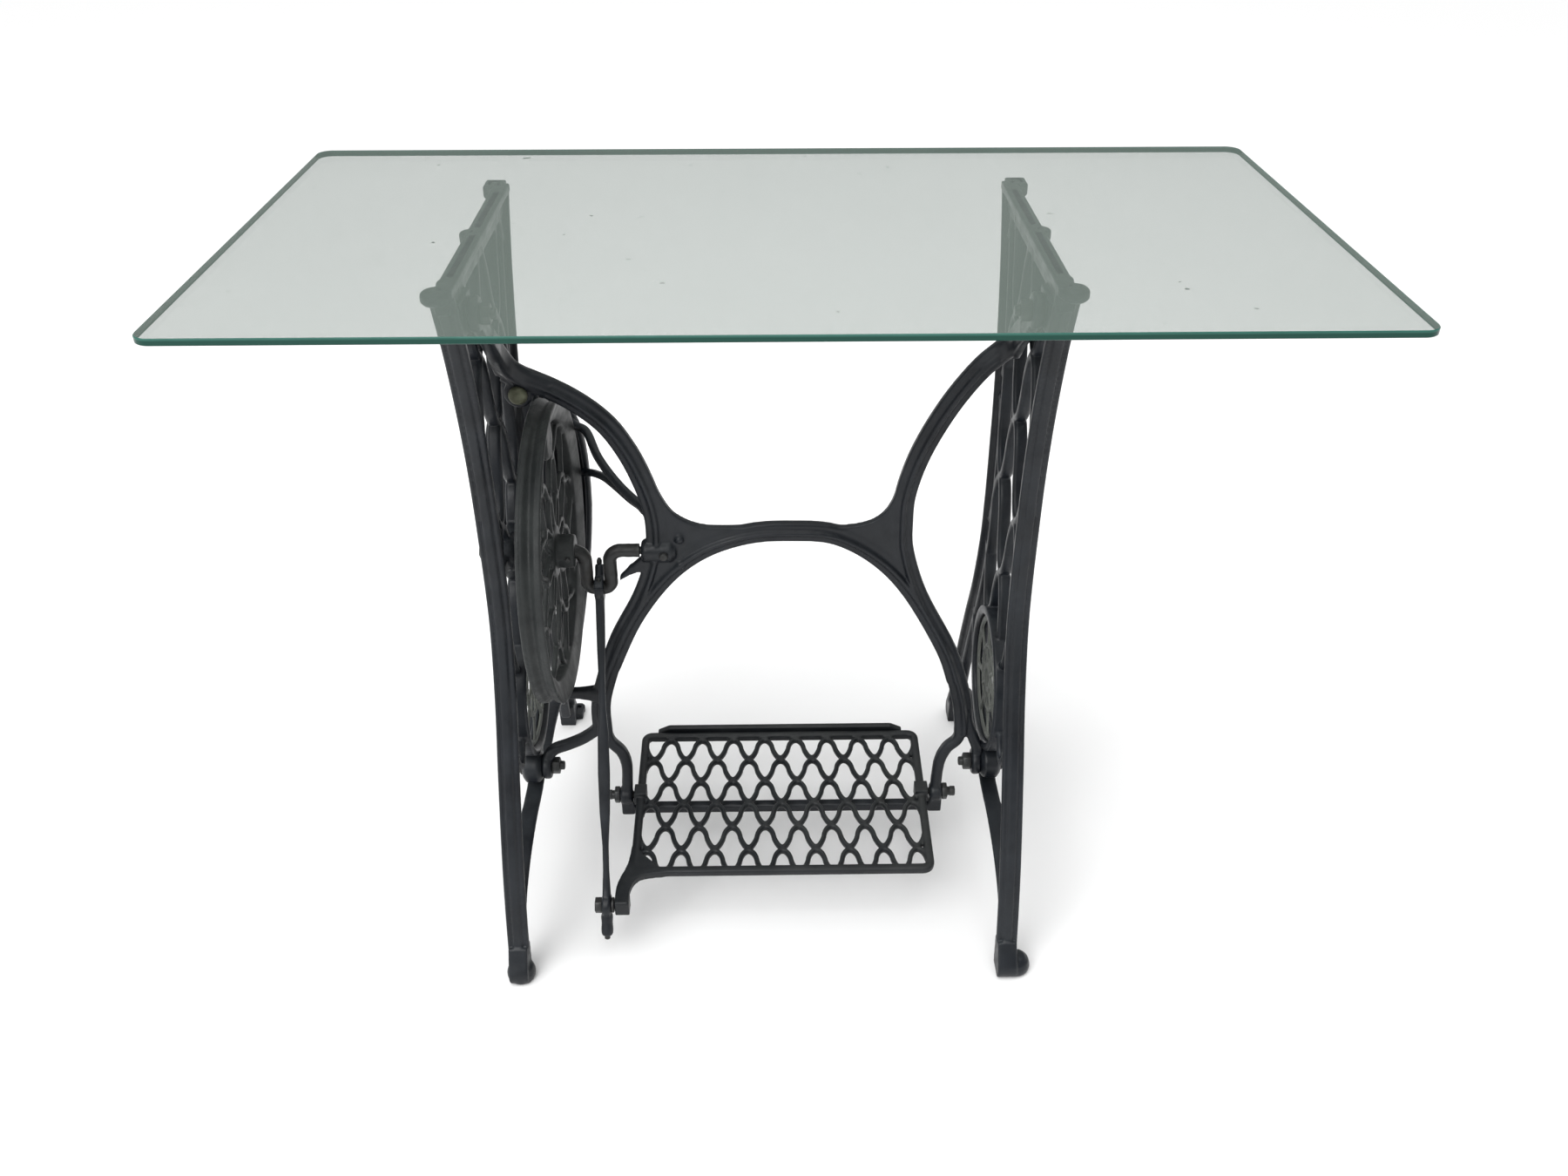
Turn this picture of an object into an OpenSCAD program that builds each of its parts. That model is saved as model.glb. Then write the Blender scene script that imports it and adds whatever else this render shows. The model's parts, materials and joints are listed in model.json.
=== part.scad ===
// Treadle sewing machine base with a glass table top.
// Frame: +X to the right, +Y away from the front, +Z up. The origin is on the
// floor, under the centre of the glass. All sizes are in millimetres.

/* [Table top] */
// Width of the glass plate
glass_w = 966; // [900:1:1050]
// Depth of the glass plate
glass_d = 517; // [480:1:560]
// Thickness of the glass plate
glass_t = 6; // [5:0.5:10]
// Height of the glass upper face above the floor
top_h = 735; // [720:1:760]
// Corner radius of the glass plate
glass_corner_r = 14; // [8:1:30]

/* [Side frames] */
// Centre plane of the left side frame
frame_left_x = -281; // [-284:1:-278]
// Centre plane of the right side frame
frame_right_x = 229; // [226:1:232]
// Distance of the frame's middle from the glass middle
frame_y = 5; // [0:1:10]
// Width of the outer flange of the legs
flange_w = 22; // [20:1:26]
// Thickness of the web inside the flange
web_t = 12; // [10:1:14]
// Height of one row of the ogee lattice
lattice_row_h = 88; // [84:1:92]
// Period of the ogee lattice
lattice_period = 96; // [90:1:102]

/* [Drive] */
// Distance of the drive plane from the glass middle
drive_y = -20; // [-24:1:-16]
// Height of the flywheel axis
wheel_z = 410; // [400:1:415]
// Centre plane of the flywheel
wheel_x = -233; // [-236:1:-230]
// Radius of the flywheel
wheel_r = 153; // [148:1:155]
// Throw of the crank
crank_throw = 44; // [40:1:46]
// Centre plane of the pitman
pitman_x = -190; // [-191:1:-189]
// Radius of the crankpin and crankshaft
shaft_r = 7; // [6:0.5:8]

/* [Treadle] */
// Height of the treadle pivots
treadle_z = 87; // [84:1:92]
// Forward tilt of the treadle at rest
treadle_tilt = 5.7; // [3:0.1:8]
// Clear width inside the treadle rails
treadle_w = 309; // [300:1:312]
// Ogee periods across the treadle
treadle_periods = 8.4; // [8:0.1:9]

/* [Hidden] */
$fn = 48;

iron = [0.20, 0.21, 0.23];
dusty_iron = [0.25, 0.26, 0.25];
badge_grey = [0.43, 0.45, 0.42];
steel = [0.28, 0.27, 0.26];
glass_green = [0.72, 0.84, 0.80, 0.45];

frame_top = top_h - glass_t;
inner_left_x = frame_left_x + flange_w / 2;
inner_right_x = frame_right_x - flange_w / 2;
flange_t = 8;
web_w = 26;
top_bar_w = 15;
far_splay = 14;
running_gap = 0.05;
medallion_z = 228;
medallion_r = 80;
badge_r = 69;
lower_bolt = [drive_y, 131];
upper_bolt = [frame_y - 100, 690];
bolt_r = 5;
crankpin_z = wheel_z - crank_throw;
pitman_pin_pos = [drive_y - 150, 66];
pitman_dy = pitman_pin_pos[0] - drive_y;
pitman_dz = pitman_pin_pos[1] - crankpin_z;
pitman_len = norm([pitman_dy, pitman_dz]);
pitman_angle = atan(pitman_dy / pitman_dz);
pitman_t = 9.4;
treadle_x = -4.5;
treadle_near = 108;
treadle_far = 87;
treadle_rail = 9;
treadle_rows = 5.75;
brace_t = 10;
arm_w = 21;

// Half outline of a side frame: distance of the outer leg face from the frame's
// middle, against height, from the top corner down to the ankle.
leg_face = [
    [150, 722], [140, 700], [123, 655], [106, 590], [96, 525], [93, 460], [93, 400],
    [99, 350], [120, 283], [149, 217], [180, 140], [199, 80], [211, 30]
];

// Drive-plane centrelines of the cross brace, as [x, z].
left_arm = [
    [-262, 606], [-222, 588], [-194, 571], [-170, 549], [-152, 520], [-139, 488],
    [-131, 458], [-129, 430], [-132, 398], [-147, 354], [-174, 301], [-193, 245],
    [-200, 212], [-200, 178]
];
right_arm = [
    [211, 630], [184, 606], [156, 567], [132, 519], [119, 475], [117, 440],
    [120, 405], [137, 352], [172, 282], [190, 226], [196, 190], [197, 172]
];
arch = [
    [-186, 266], [-159, 327], [-123, 379], [-84, 411], [-38, 428], [8, 431],
    [52, 426], [95, 400], [131, 358], [169, 288], [184, 245]
];
left_foot_arm = [[-201, 205], [-206, 184], [-222, 170], [-240, 161], [-256, 154], [-264, 142.5]];
right_foot_arm = [[197, 205], [202, 184], [206, 166], [210, 152], [211.5, 142]];
left_hanger = [[-199, 200], [-194, 168], [-182, 151], [-177, 132], [-178, 105], [-179, 87]];
right_hanger = [[196, 200], [192, 166], [180, 151], [173, 132], [171, 105], [171, 87]];
guard_bolt = [-250, 583];

// ---- Curve and outline helpers ----

function spline_point(a, b, c, d, t) =
    0.5 * (2 * b + (c - a) * t + (2 * a - 5 * b + 4 * c - d) * t * t
           + (3 * b - a - 3 * c + d) * t * t * t);

// Points of a smooth curve through pts, with n steps between neighbours.
function spline(pts, n = 4) =
    let (last = len(pts) - 1)
    [for (i = [0 : last - 1], k = [0 : (i == last - 1 ? n : n - 1)])
        spline_point(pts[max(i - 1, 0)], pts[i], pts[i + 1], pts[min(i + 2, last)], k / n)];

function unit(v) = v / norm(v);
function tangent(path, i) = unit(path[min(i + 1, len(path) - 1)] - path[max(i - 1, 0)]);

// The path moved sideways by d, to the left of its direction.
function shifted(path, d) =
    [for (i = [0 : len(path) - 1]) let (t = tangent(path, i)) path[i] + d * [-t[1], t[0]]];

function reversed(list) = [for (i = [len(list) - 1 : -1 : 0]) list[i]];

// A band of the given width that follows path.
module band(path, width) {
    polygon(concat(shifted(path, width / 2), reversed(shifted(path, -width / 2))));
}

// Extrude a [y, z] outline along X, or an [x, z] outline along Y, about a plane.
module across_x(x, t) translate([x, 0, 0]) rotate([90, 0, 90])
    linear_extrude(t, center = true) children();
module across_y(y, t) translate([0, y, 0]) rotate([90, 0, 0])
    linear_extrude(t, center = true) children();

// A round bar, or a bore, along X from x0 to x1 at [y, z].
module bar_x(x0, x1, yz, r) translate([x0, yz[0], yz[1]]) rotate([0, 90, 0])
    cylinder(h = x1 - x0, r = r);

// A hexagon along X from x0 to x1 at [y, z], af across its flats, with level flats.
module hex_x(x0, x1, yz, af) translate([x0, yz[0], yz[1]]) rotate([0, 90, 0]) rotate(30)
    cylinder(h = x1 - x0, r = af / sqrt(3), $fn = 6);

// Ogee wave: a sine with round crests and steep flanks, between -1 and 1. The lower the
// exponent, the flatter the crests (first) or the troughs (second).
even = [0.75, 0.75];
domed = [0.55, 0.9];
function ogee(angle, power = even) =
    let (s = sin(angle)) sign(s) * pow(abs(s), s > 0 ? power[0] : power[1]);

// One row of the lattice as a path, from u0 to u1, crest at u = phase.
function ogee_row(u0, u1, v, amplitude, period, phase, steps, power = even) =
    [for (k = [0 : steps])
        let (u = u0 + (u1 - u0) * k / steps)
        [u, v + amplitude * ogee(90 + 360 * (u - phase) / period, power)]];

// ---- Side frames ----

near_leg = spline(leg_face, 3);
far_leg = spline([for (p = leg_face) [p[0] + far_splay * max(0, 1 - p[1] / 300), p[1]]], 3);

module leg_outline(face, width) band(shifted(face, -width / 2), width);

module both_legs(width) difference() {
    union() {
        leg_outline(far_leg, width);
        mirror([1, 0]) leg_outline(near_leg, width);
    }
    translate([-200, frame_top]) square([400, 40]);
}

// The space between the leg centrelines, which the lattice is cut to.
module lattice_space() {
    mid = shifted(near_leg, -web_w / 2);
    polygon(concat(mid, [for (p = reversed(mid)) [-p[0], p[1]]]));
}

module lattice() {
    rows = 6;
    difference() {
        intersection() {
            lattice_space();
            for (row = [0 : rows - 1]) {
                phase = row % 2 == 0 ? 0 : lattice_period / 2;
                band(ogee_row(-144, 144, frame_top - 12 - (row + 0.5) * lattice_row_h,
                              lattice_row_h / 2 - 2, lattice_period, phase, 48), 8);
            }
        }
        translate([0, medallion_z]) circle(r = medallion_r - 4);
        translate([-150, 0]) square([300, medallion_z - 40]);
    }
}

module foot_outline() {
    toe = [[211, 40], [218, 27], [225, 15], [225, 6], [221, 0]];
    polygon(concat(spline(toe, 3), [[198, 0], [193, 34]]));
}

// Low arch that joins the ankles below the medallion.
ankle_arch = spline([[-190, 60], [-168, 78], [-130, 92], [-80, 99], [-40, 98], [0, 102],
                     [40, 98], [80, 99], [130, 92], [168, 78], [190, 60]], 3);

module frame_web_outline() {
    both_legs(web_w);
    lattice();
    translate([-146, frame_top - 24]) square([292, 20]);
    band(ankle_arch, 15);
    translate([0, 119]) square([26, 50], center = true);
}

module frame_flange_outline() {
    both_legs(flange_t);
    mirror([1, 0]) foot_outline();
    translate([far_splay, 0]) foot_outline();
}

// Screw ears of the top bar, at the near end, the middle and the far end.
module top_ears(out) {
    ear_t = 12;
    translate([0, 0, frame_top - ear_t]) {
        translate([out * 3, -150, 0]) cylinder(h = ear_t, r = 12);
        translate([out * 2, 0, 0]) cylinder(h = ear_t, r = 9);
        translate([out * 4 - 10, 140, 0]) cube([20, 24, ear_t]);
    }
}

module medallion_ring(x) {
    across_x(x, flange_w) difference() {
        translate([0, medallion_z]) circle(r = medallion_r);
        translate([0, medallion_z]) circle(r = badge_r + 1);
    }
    // Ledge that the badge rests on
    across_x(x, 6) difference() {
        translate([0, medallion_z]) circle(r = medallion_r - 4);
        translate([0, medallion_z]) circle(r = badge_r - 5);
    }
}

// Side frame around the plane x, with its outside towards out (-1 or 1).
module side_frame(x, out) {
    upper = [upper_bolt[0] - frame_y, upper_bolt[1]];
    lower = [lower_bolt[0] - frame_y, lower_bolt[1]];
    translate([0, frame_y, 0]) difference() {
        union() {
            across_x(x, web_t) frame_web_outline();
            across_x(x, flange_w) frame_flange_outline();
            across_x(x - out * (flange_w - top_bar_w) / 2, top_bar_w)
                translate([-152, frame_top - flange_t]) square([304, flange_t]);
            translate([x, 0, 0]) top_ears(out);
            medallion_ring(x);
            bar_x(x - flange_w / 2, x + flange_w / 2, lower, 19);
            bar_x(x - flange_w / 2, x + flange_w / 2, upper, 17);
        }
        bar_x(x - flange_w, x + flange_w, lower, bolt_r);
        bar_x(x - flange_w, x + flange_w, upper, bolt_r);
    }
}

module side_frame_left() color(iron) {
    bearing = [drive_y, wheel_z];
    difference() {
        union() {
            side_frame(frame_left_x, -1);
            across_x(frame_left_x, web_t) translate([frame_y - 72, wheel_z - 7])
                square([144, 14]);
            bar_x(frame_left_x - 14, inner_left_x, bearing, 20);
            foot_lug();
        }
        bar_x(frame_left_x - 20, inner_left_x + 10, bearing, 6);
        translate([frame_left_x + 11, frame_y + 243, -1]) cylinder(h = 12, r = 3);
    }
    // Hoof at the near foot
    translate([frame_left_x + 1, frame_y - 211, 0]) cylinder(h = 18, r = 15);
}

// Flat lug with a hole, behind the far left foot.
module foot_lug() {
    translate([frame_left_x + 11, frame_y + 243, 0]) cylinder(h = 8, r = 8);
    translate([frame_left_x + 3, frame_y + 225, 0]) cube([16, 18, 8]);
}

module side_frame_right() color(iron) {
    side_frame(frame_right_x, 1);
    // Round toe that points outwards at the near foot
    translate([frame_right_x + 11, frame_y - 209, 0]) cylinder(h = 20, r = 14);
}

// Pierced round badge with a plain rosette pattern.
module badge(x) {
    petals = 8;
    across_x(x, 4) translate([frame_y, medallion_z]) difference() {
        circle(r = badge_r);
        for (k = [0 : petals - 1]) rotate(k * 360 / petals) {
            translate([48, 0]) scale([1, 0.62]) circle(r = 12, $fn = 24);
            rotate(180 / petals) translate([30, 0]) circle(r = 5, $fn = 24);
        }
        circle(r = 10);
    }
}

module badge_left() color(badge_grey) badge(frame_left_x + 5);
module badge_right() color(badge_grey) badge(frame_right_x - 5);

// ---- Glass ----

module glass_top() color(glass_green) {
    reach = [glass_w / 2 - glass_corner_r, glass_d / 2 - glass_corner_r];
    translate([0, 0, frame_top]) linear_extrude(glass_t) union() {
        square([2 * reach[0], glass_d], center = true);
        square([glass_w, 2 * reach[1]], center = true);
        for (sx = [-1, 1], sy = [-1, 1])
            translate([sx * reach[0], sy * reach[1]]) circle(r = glass_corner_r);
    }
}

// ---- Cross brace ----

module brace_outline() {
    band(spline(left_arm, 3), arm_w);
    band(spline(right_arm, 3), arm_w);
    band(spline(arch, 3), arm_w);
    for (arm = [left_foot_arm, right_foot_arm, left_hanger, right_hanger])
        band(spline(arm, 3), 12);
    // Webs in the corners between the arms and the arch
    polygon(concat(spline([[-130, 492], [-122, 472], [-113, 456], [-101, 446], [-84, 439],
                           [-62, 437], [-40, 437.5]], 3),
                   [[-38, 428], [-84, 411], [-123, 379], [-132, 405], [-131, 458]]));
    polygon(concat(spline([[32, 439], [55, 436.5], [74, 438.5], [88, 443.5], [98, 452],
                           [105, 464], [110, 480], [117, 503]], 3),
                   [[124, 500], [117, 440], [120, 405], [112, 383], [95, 398], [32, 428]]));
    // Gusset that runs out beside the crank
    polygon([[-132, 404], [-131, 390], [-146, 387], [-158, 382.5], [-168.5, 376],
             [-168.5, 379.5], [-158, 391], [-147, 401]]);
    // Guide arm under the flywheel
    translate([-258, 226]) square([60, 11]);
    translate([-258, 231]) circle(r = 9);
    translate(guard_bolt) circle(r = 14);
}

module brace_rib() {
    rib_w = 5;
    band(spline(left_arm, 3), rib_w);
    band(spline(right_arm, 3), rib_w);
    band(spline(arch, 3), rib_w);
}

// Arm that runs forward along a side frame to its upper corner, at plane x.
module forward_arm(x) {
    across_x(x, brace_t) {
        band(spline([[drive_y + 4, x < 0 ? 608 : 622], [drive_y - 18, x < 0 ? 632 : 642],
                     [drive_y - 50, 666], upper_bolt], 3), arm_w);
        translate(upper_bolt) circle(r = 16);
    }
}

module cross_brace() color(iron) {
    crank_axis = [drive_y, wheel_z];
    pivot_axis = [drive_y, treadle_z];
    difference() {
        union() {
            across_y(drive_y, brace_t) brace_outline();
            across_y(drive_y, brace_t + 8) brace_rib();
            forward_arm(inner_left_x + brace_t / 2);
            forward_arm(inner_right_x - brace_t / 2);
            bar_x(inner_left_x, inner_left_x + brace_t, lower_bolt, 15);
            bar_x(inner_right_x - brace_t, inner_right_x, lower_bolt, 15);
            bar_x(-145, -112, crank_axis, 12);
            bar_x(-187, -173, pivot_axis, 11);
            bar_x(164, 178, pivot_axis, 11);
            // Cross bar under the treadle
            translate([-179, drive_y - 6, 62]) cube([350, 12, 11]);
            translate([-186, drive_y - 7, 62]) cube([14, 14, 20]);
            translate([164, drive_y - 7, 62]) cube([14, 14, 20]);
        }
        bar_x(-400, -200, upper_bolt, bolt_r);
        bar_x(200, 400, upper_bolt, bolt_r);
        bar_x(-400, -240, lower_bolt, bolt_r);
        bar_x(200, 400, lower_bolt, bolt_r);
        bar_x(-150, -110, crank_axis, 6);
        translate([-112, drive_y - 20, wheel_z - 8]) cube([10, 40, 16]);
        crank_set_hole();
        bar_x(-190, -170, pivot_axis, 5);
        bar_x(160, 180, pivot_axis, 5);
        translate([guard_bolt[0], drive_y + 20, guard_bolt[1]]) rotate([90, 0, 0])
            cylinder(h = 40, r = 4);
        shaft_clearance();
    }
}

// Threaded hole in the front of the crank's bearing boss.
module crank_set_hole() translate([-122, drive_y, wheel_z]) rotate([90, 0, 0])
    cylinder(h = 20, r = 2.5);

// The brace's left lobe is notched where the end of the crankshaft turns in it.
module shaft_clearance() bar_x(-170, -145, [drive_y, wheel_z], shaft_r + 1.5);

// ---- Fasteners of the stand ----

module bolt_pair(yz) {
    head_h = 5;
    for (side = [-1, 1]) {
        outer = side < 0 ? frame_left_x - flange_w / 2 : frame_right_x + flange_w / 2;
        inner = side < 0 ? inner_left_x + 24 : inner_right_x - 24;
        bar_x(min(outer, inner), max(outer, inner), yz, bolt_r);
        bar_x(side < 0 ? outer - head_h : outer, side < 0 ? outer : outer + head_h, yz, 10);
    }
}

module nut_pair(yz) {
    nut_h = 9;
    for (x0 = [inner_left_x + brace_t, inner_right_x - brace_t - nut_h]) difference() {
        hex_x(x0, x0 + nut_h, yz, 17);
        bar_x(x0 - 1, x0 + nut_h + 1, yz, bolt_r);
    }
}

module brace_upper_bolts() color(steel) bolt_pair(upper_bolt);
module brace_upper_nuts() color(steel) nut_pair(upper_bolt);
module brace_lower_bolts() color(steel) bolt_pair(lower_bolt);
module brace_lower_nuts() color(steel) nut_pair(lower_bolt);

// Screw along X with a journal tip: thread from x0 to x1, tip past x1, head at x0.
module pivot_screw(x0, x1, tip, yz, r, tip_r) {
    dir = x1 > x0 ? 1 : -1;
    head = 6;
    bar_x(min(x0, x1), max(x0, x1), yz, r);
    bar_x(min(x1, x1 + dir * tip), max(x1, x1 + dir * tip), yz, tip_r);
    hex_x(min(x0, x0 - dir * head), max(x0, x0 - dir * head), yz, 2 * r);
}

module locknut(x0, x1, yz, af, r) difference() {
    hex_x(x0, x1, yz, af);
    bar_x(x0 - 1, x1 + 1, yz, r);
}

tip_r = 4;
module wheel_bearing_screw() color(steel)
    pivot_screw(frame_left_x - 20, inner_left_x + 2, 10, [drive_y, wheel_z], 6, tip_r);
module wheel_bearing_locknut() color(steel)
    locknut(frame_left_x - 20, frame_left_x - 14, [drive_y, wheel_z], 19, 6);

// Headless screw that carries the right end of the crankshaft, and the screw that locks it.
module crank_pivot_screw() color(steel) {
    bar_x(-144, -113, [drive_y, wheel_z], 6);
    bar_x(-154, -144, [drive_y, wheel_z], tip_r);
}
module crank_set_screw() color(steel) translate([-122, drive_y, wheel_z]) rotate([90, 0, 0]) {
    translate([0, 0, 6.2]) cylinder(h = 8, r = 2.5);
    translate([0, 0, 12.2]) cylinder(h = 4, r = 4.5);
}

module treadle_pivot_screws() color(steel) {
    pivot_screw(-196, -172, 8, [drive_y, treadle_z], 5, tip_r - 0.5);
    pivot_screw(187, 163, 8, [drive_y, treadle_z], 5, tip_r - 0.5);
}

module treadle_pivot_locknuts() color(steel) {
    locknut(-193, -187, [drive_y, treadle_z], 17, 5);
    locknut(178, 184, [drive_y, treadle_z], 17, 5);
}

// ---- Dress guard ----

guard_y = 146;
guard_t = 4;
guard_face = [
    [-264, 205], [-265, 248], [-292, 286], [-316, 330], [-325, 410], [-320, 470],
    [-304, 503], [-274, 516], [-240, 503], [-221, 470], [-216, 400], [-221, 325],
    [-232, 250], [-243, 190], [-250, 160], [-259, 165]
];

module dress_guard() color(iron) {
    outline = spline(concat(guard_face, [guard_face[0]]), 3);
    difference() {
        union() {
            across_y(guard_y, guard_t) polygon(outline);
            // Vertical ribs that follow the right-hand edge
            for (k = [0 : 3]) across_y(guard_y - 3, 4)
                band(spline([for (p = [[-231, 465], [-227, 400], [-232, 345], [-239, 300]])
                             p - [k * 22, 0]], 3), 5);
        }
        guard_bolt_hole();
    }
}

module guard_bolt_hole() translate([-262, guard_y + 20, 490]) rotate([90, 0, 0])
    cylinder(h = 40, r = 4);

// A round bar swept along path, whose points are [x, y, z].
module rod(path, r, sides = 8) {
    rings = [for (i = [0 : len(path) - 1])
        let (t = tangent(path, i), a = unit(cross(t, [0.1, 0.2, 1])), b = cross(t, a))
        for (k = [0 : sides - 1])
            path[i] + r * (cos(360 * k / sides) * a + sin(360 * k / sides) * b)];
    last = (len(path) - 1) * sides;
    polyhedron(rings, concat(
        [[for (k = [0 : sides - 1]) k]],
        [for (i = [0 : len(path) - 2], k = [0 : sides - 1])
            let (n = (k + 1) % sides)
            [i * sides + k, (i + 1) * sides + k, (i + 1) * sides + n, i * sides + n]],
        [[for (k = [sides - 1 : -1 : 0]) last + k]]));
}

// Path of a bar that meets the surfaces at its two ends squarely.
function butted(start, inner, end) = concat([start], spline(inner, 4), [end]);

guard_side = guard_y - guard_t / 2;
brace_back = drive_y + brace_t / 2;

// Forked stay from the edge of the guard to the left arm of the brace.
module guard_stay() color(iron) {
    rod(butted([-228, guard_side, 478],
               [[-228, 136, 478], [-220, 125, 478.5], [-208, 110, 478], [-192, 66, 470],
                [-168, 28, 458], [-138.5, brace_back + 7, 448]],
               [-138.5, brace_back, 448]), 5);
    rod(butted([-219, guard_side, 416],
               [[-219, 139, 416], [-212, 130, 420], [-203, 112, 428], [-190, 84, 438],
                [-176, 56, 443], [-158, 24, 445], [-146, 6, 446]],
               [-140.5, -7, 447.5]), 4.5);
}

// Hook that carries the top of the guard from the lug of the brace.
module guard_hook() color(iron)
    rod(butted([guard_bolt[0], brace_back, guard_bolt[1]],
               [[guard_bolt[0], brace_back + 6, guard_bolt[1]], [-252, 20, 576], [-257, 80, 552],
                [-262, 118, 514], [-262, 128, 496], [-262, 135, 490]],
               [-262, guard_side, 490]), 6);

module guard_bolts() color([0.35, 0.38, 0.28]) {
    translate([guard_bolt[0], drive_y + 5, guard_bolt[1]]) rotate([90, 0, 0]) {
        cylinder(h = 16, r = 4);
        translate([0, 0, 10]) cylinder(h = 6, r = 9);
    }
    translate([-262, guard_y + 8, 490]) rotate([90, 0, 0]) {
        cylinder(h = 10, r = 4);
        cylinder(h = 6, r = 8);
    }
}

// ---- Flywheel and crankshaft ----

module flywheel() color(dusty_iron) translate([wheel_x, drive_y, wheel_z]) rotate([0, 90, 0])
    difference() {
        union() {
            wheel_rim();
            linear_extrude(10, center = true) wheel_lattice();
            translate([0, 0, -24]) cylinder(h = 46, r = 17);
            // Counterweight, opposite the crank
            linear_extrude(15, center = true) translate([-wheel_r + 29, 0]) circle(r = 20);
        }
        translate([0, 0, -40]) cylinder(h = 80, r = shaft_r);
        translate([0, 0, 16]) rotate([90, 0, 0]) cylinder(h = 50, r = 2.5, center = true);
    }

module wheel_rim() {
    half = 12;
    groove = 5;
    depth = 22;
    rotate_extrude($fn = 120) polygon([
        [wheel_r - depth, -6], [wheel_r - 10, -half + 3], [wheel_r, -half], [wheel_r, -groove],
        [wheel_r - 5, 0], [wheel_r, groove], [wheel_r, half], [wheel_r - 10, half - 3],
        [wheel_r - depth, 6]
    ]);
}

// Quarter of an ogee opening, from its tip on the radius to its side, in unit steps.
function ogee_quarter(n) =
    [for (k = [0 : n - 1]) [k / n, 0.5 + 0.5 * ogee(90 + 180 * k / n)]];

// Opening of the web around radius r: half_a degrees to each side, half_h inwards and outwards.
module web_opening(r, half_a, half_h) {
    quarter = ogee_quarter(7);
    loop = concat(
        [for (q = quarter) [q[0], q[1]]],
        [[1, 0]], [for (q = reversed(quarter)) [q[0], -q[1]]],
        [for (k = [1 : len(quarter) - 1]) [-quarter[k][0], -quarter[k][1]]],
        [[-1, 0]], [for (k = [len(quarter) - 1 : -1 : 1]) [-quarter[k][0], quarter[k][1]]]);
    polygon([for (q = loop) let (a = q[0] * half_a, d = r + q[1] * half_h) [d * cos(a), d * sin(a)]]);
}

// Web with staggered rings of ogee openings between the hub and the rim.
module wheel_lattice() {
    arms = 8;
    bar = 6.5;
    hub = 24;
    rows = 3;
    row_h = (wheel_r - 20 - hub) / rows;
    difference() {
        circle(r = wheel_r - 20);
        for (edge = [0 : rows], k = [0 : arms - 1]) {
            r = hub + edge * row_h;
            half_a = 180 / arms - 57.3 * bar * 0.55 / r;
            rotate((k + edge % 2 * 0.5) * 360 / arms)
                web_opening(r, half_a, row_h - bar / 2);
        }
    }
    difference() {
        circle(r = hub + 4);
        circle(r = 10);
    }
}

// A quarter bend of the shaft bar in the XZ plane, from the angle start to start + 90.
module elbow(bend_r, start) rotate([90, 0, 0]) rotate([0, 0, start]) rotate_extrude(angle = 90)
    translate([bend_r, 0]) circle(r = shaft_r);

shaft_bend_r = 12;
pin_bend_r = 7.5;
throw_arm_x = 12.4;
throw_half_w = throw_arm_x + shaft_bend_r;

// Right half of the crank throw, from the middle of the crankpin up to the shaft line.
module half_throw() {
    pin_bend_z = -crank_throw + pin_bend_r;
    translate([throw_half_w, 0, -shaft_bend_r]) elbow(shaft_bend_r, 90);
    translate([throw_arm_x, 0, pin_bend_z])
        cylinder(h = -shaft_bend_r - pin_bend_z, r = shaft_r);
    translate([throw_arm_x - pin_bend_r, 0, pin_bend_z]) elbow(pin_bend_r, -90);
    translate([0, 0, -crank_throw]) rotate([0, 90, 0])
        cylinder(h = throw_arm_x - pin_bend_r, r = shaft_r);
}

module crankshaft() color(steel) {
    left_end = inner_left_x + 4;
    right_end = -147;
    axis = [drive_y, wheel_z];
    difference() {
        union() {
            translate([pitman_x, drive_y, wheel_z]) {
                half_throw();
                mirror([1, 0, 0]) half_throw();
            }
            bar_x(left_end, pitman_x - throw_half_w, axis, shaft_r);
            bar_x(pitman_x + throw_half_w, right_end, axis, shaft_r);
        }
        bar_x(left_end - 1, left_end + 12, axis, tip_r + running_gap);
        bar_x(right_end - 12, right_end + 1, axis, tip_r + running_gap);
        taper_pin(40);
    }
}

// Pin across the hub and the shaft.
module taper_pin(length) translate([wheel_x + 16, drive_y, wheel_z])
    rotate([90, 0, 0]) cylinder(h = length, r = 2.5, center = true);

module wheel_taper_pin() color(steel) taper_pin(40);

// ---- Pitman ----

// Children are placed with the crankpin at the origin and the rod along -Z.
module pitman_place() translate([pitman_x, drive_y, crankpin_z]) rotate([-pitman_angle, 0, 0])
    children();

eye_r = 13;
module pitman_bore() rotate([0, 90, 0])
    cylinder(h = 30, r = shaft_r + running_gap, center = true);

// Round shank between two distances below the crankpin, with its radius at each.
module shank(d0, d1, r0, r1) translate([0, 0, -d1]) cylinder(h = d1 - d0, r1 = r1, r2 = r0);

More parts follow.
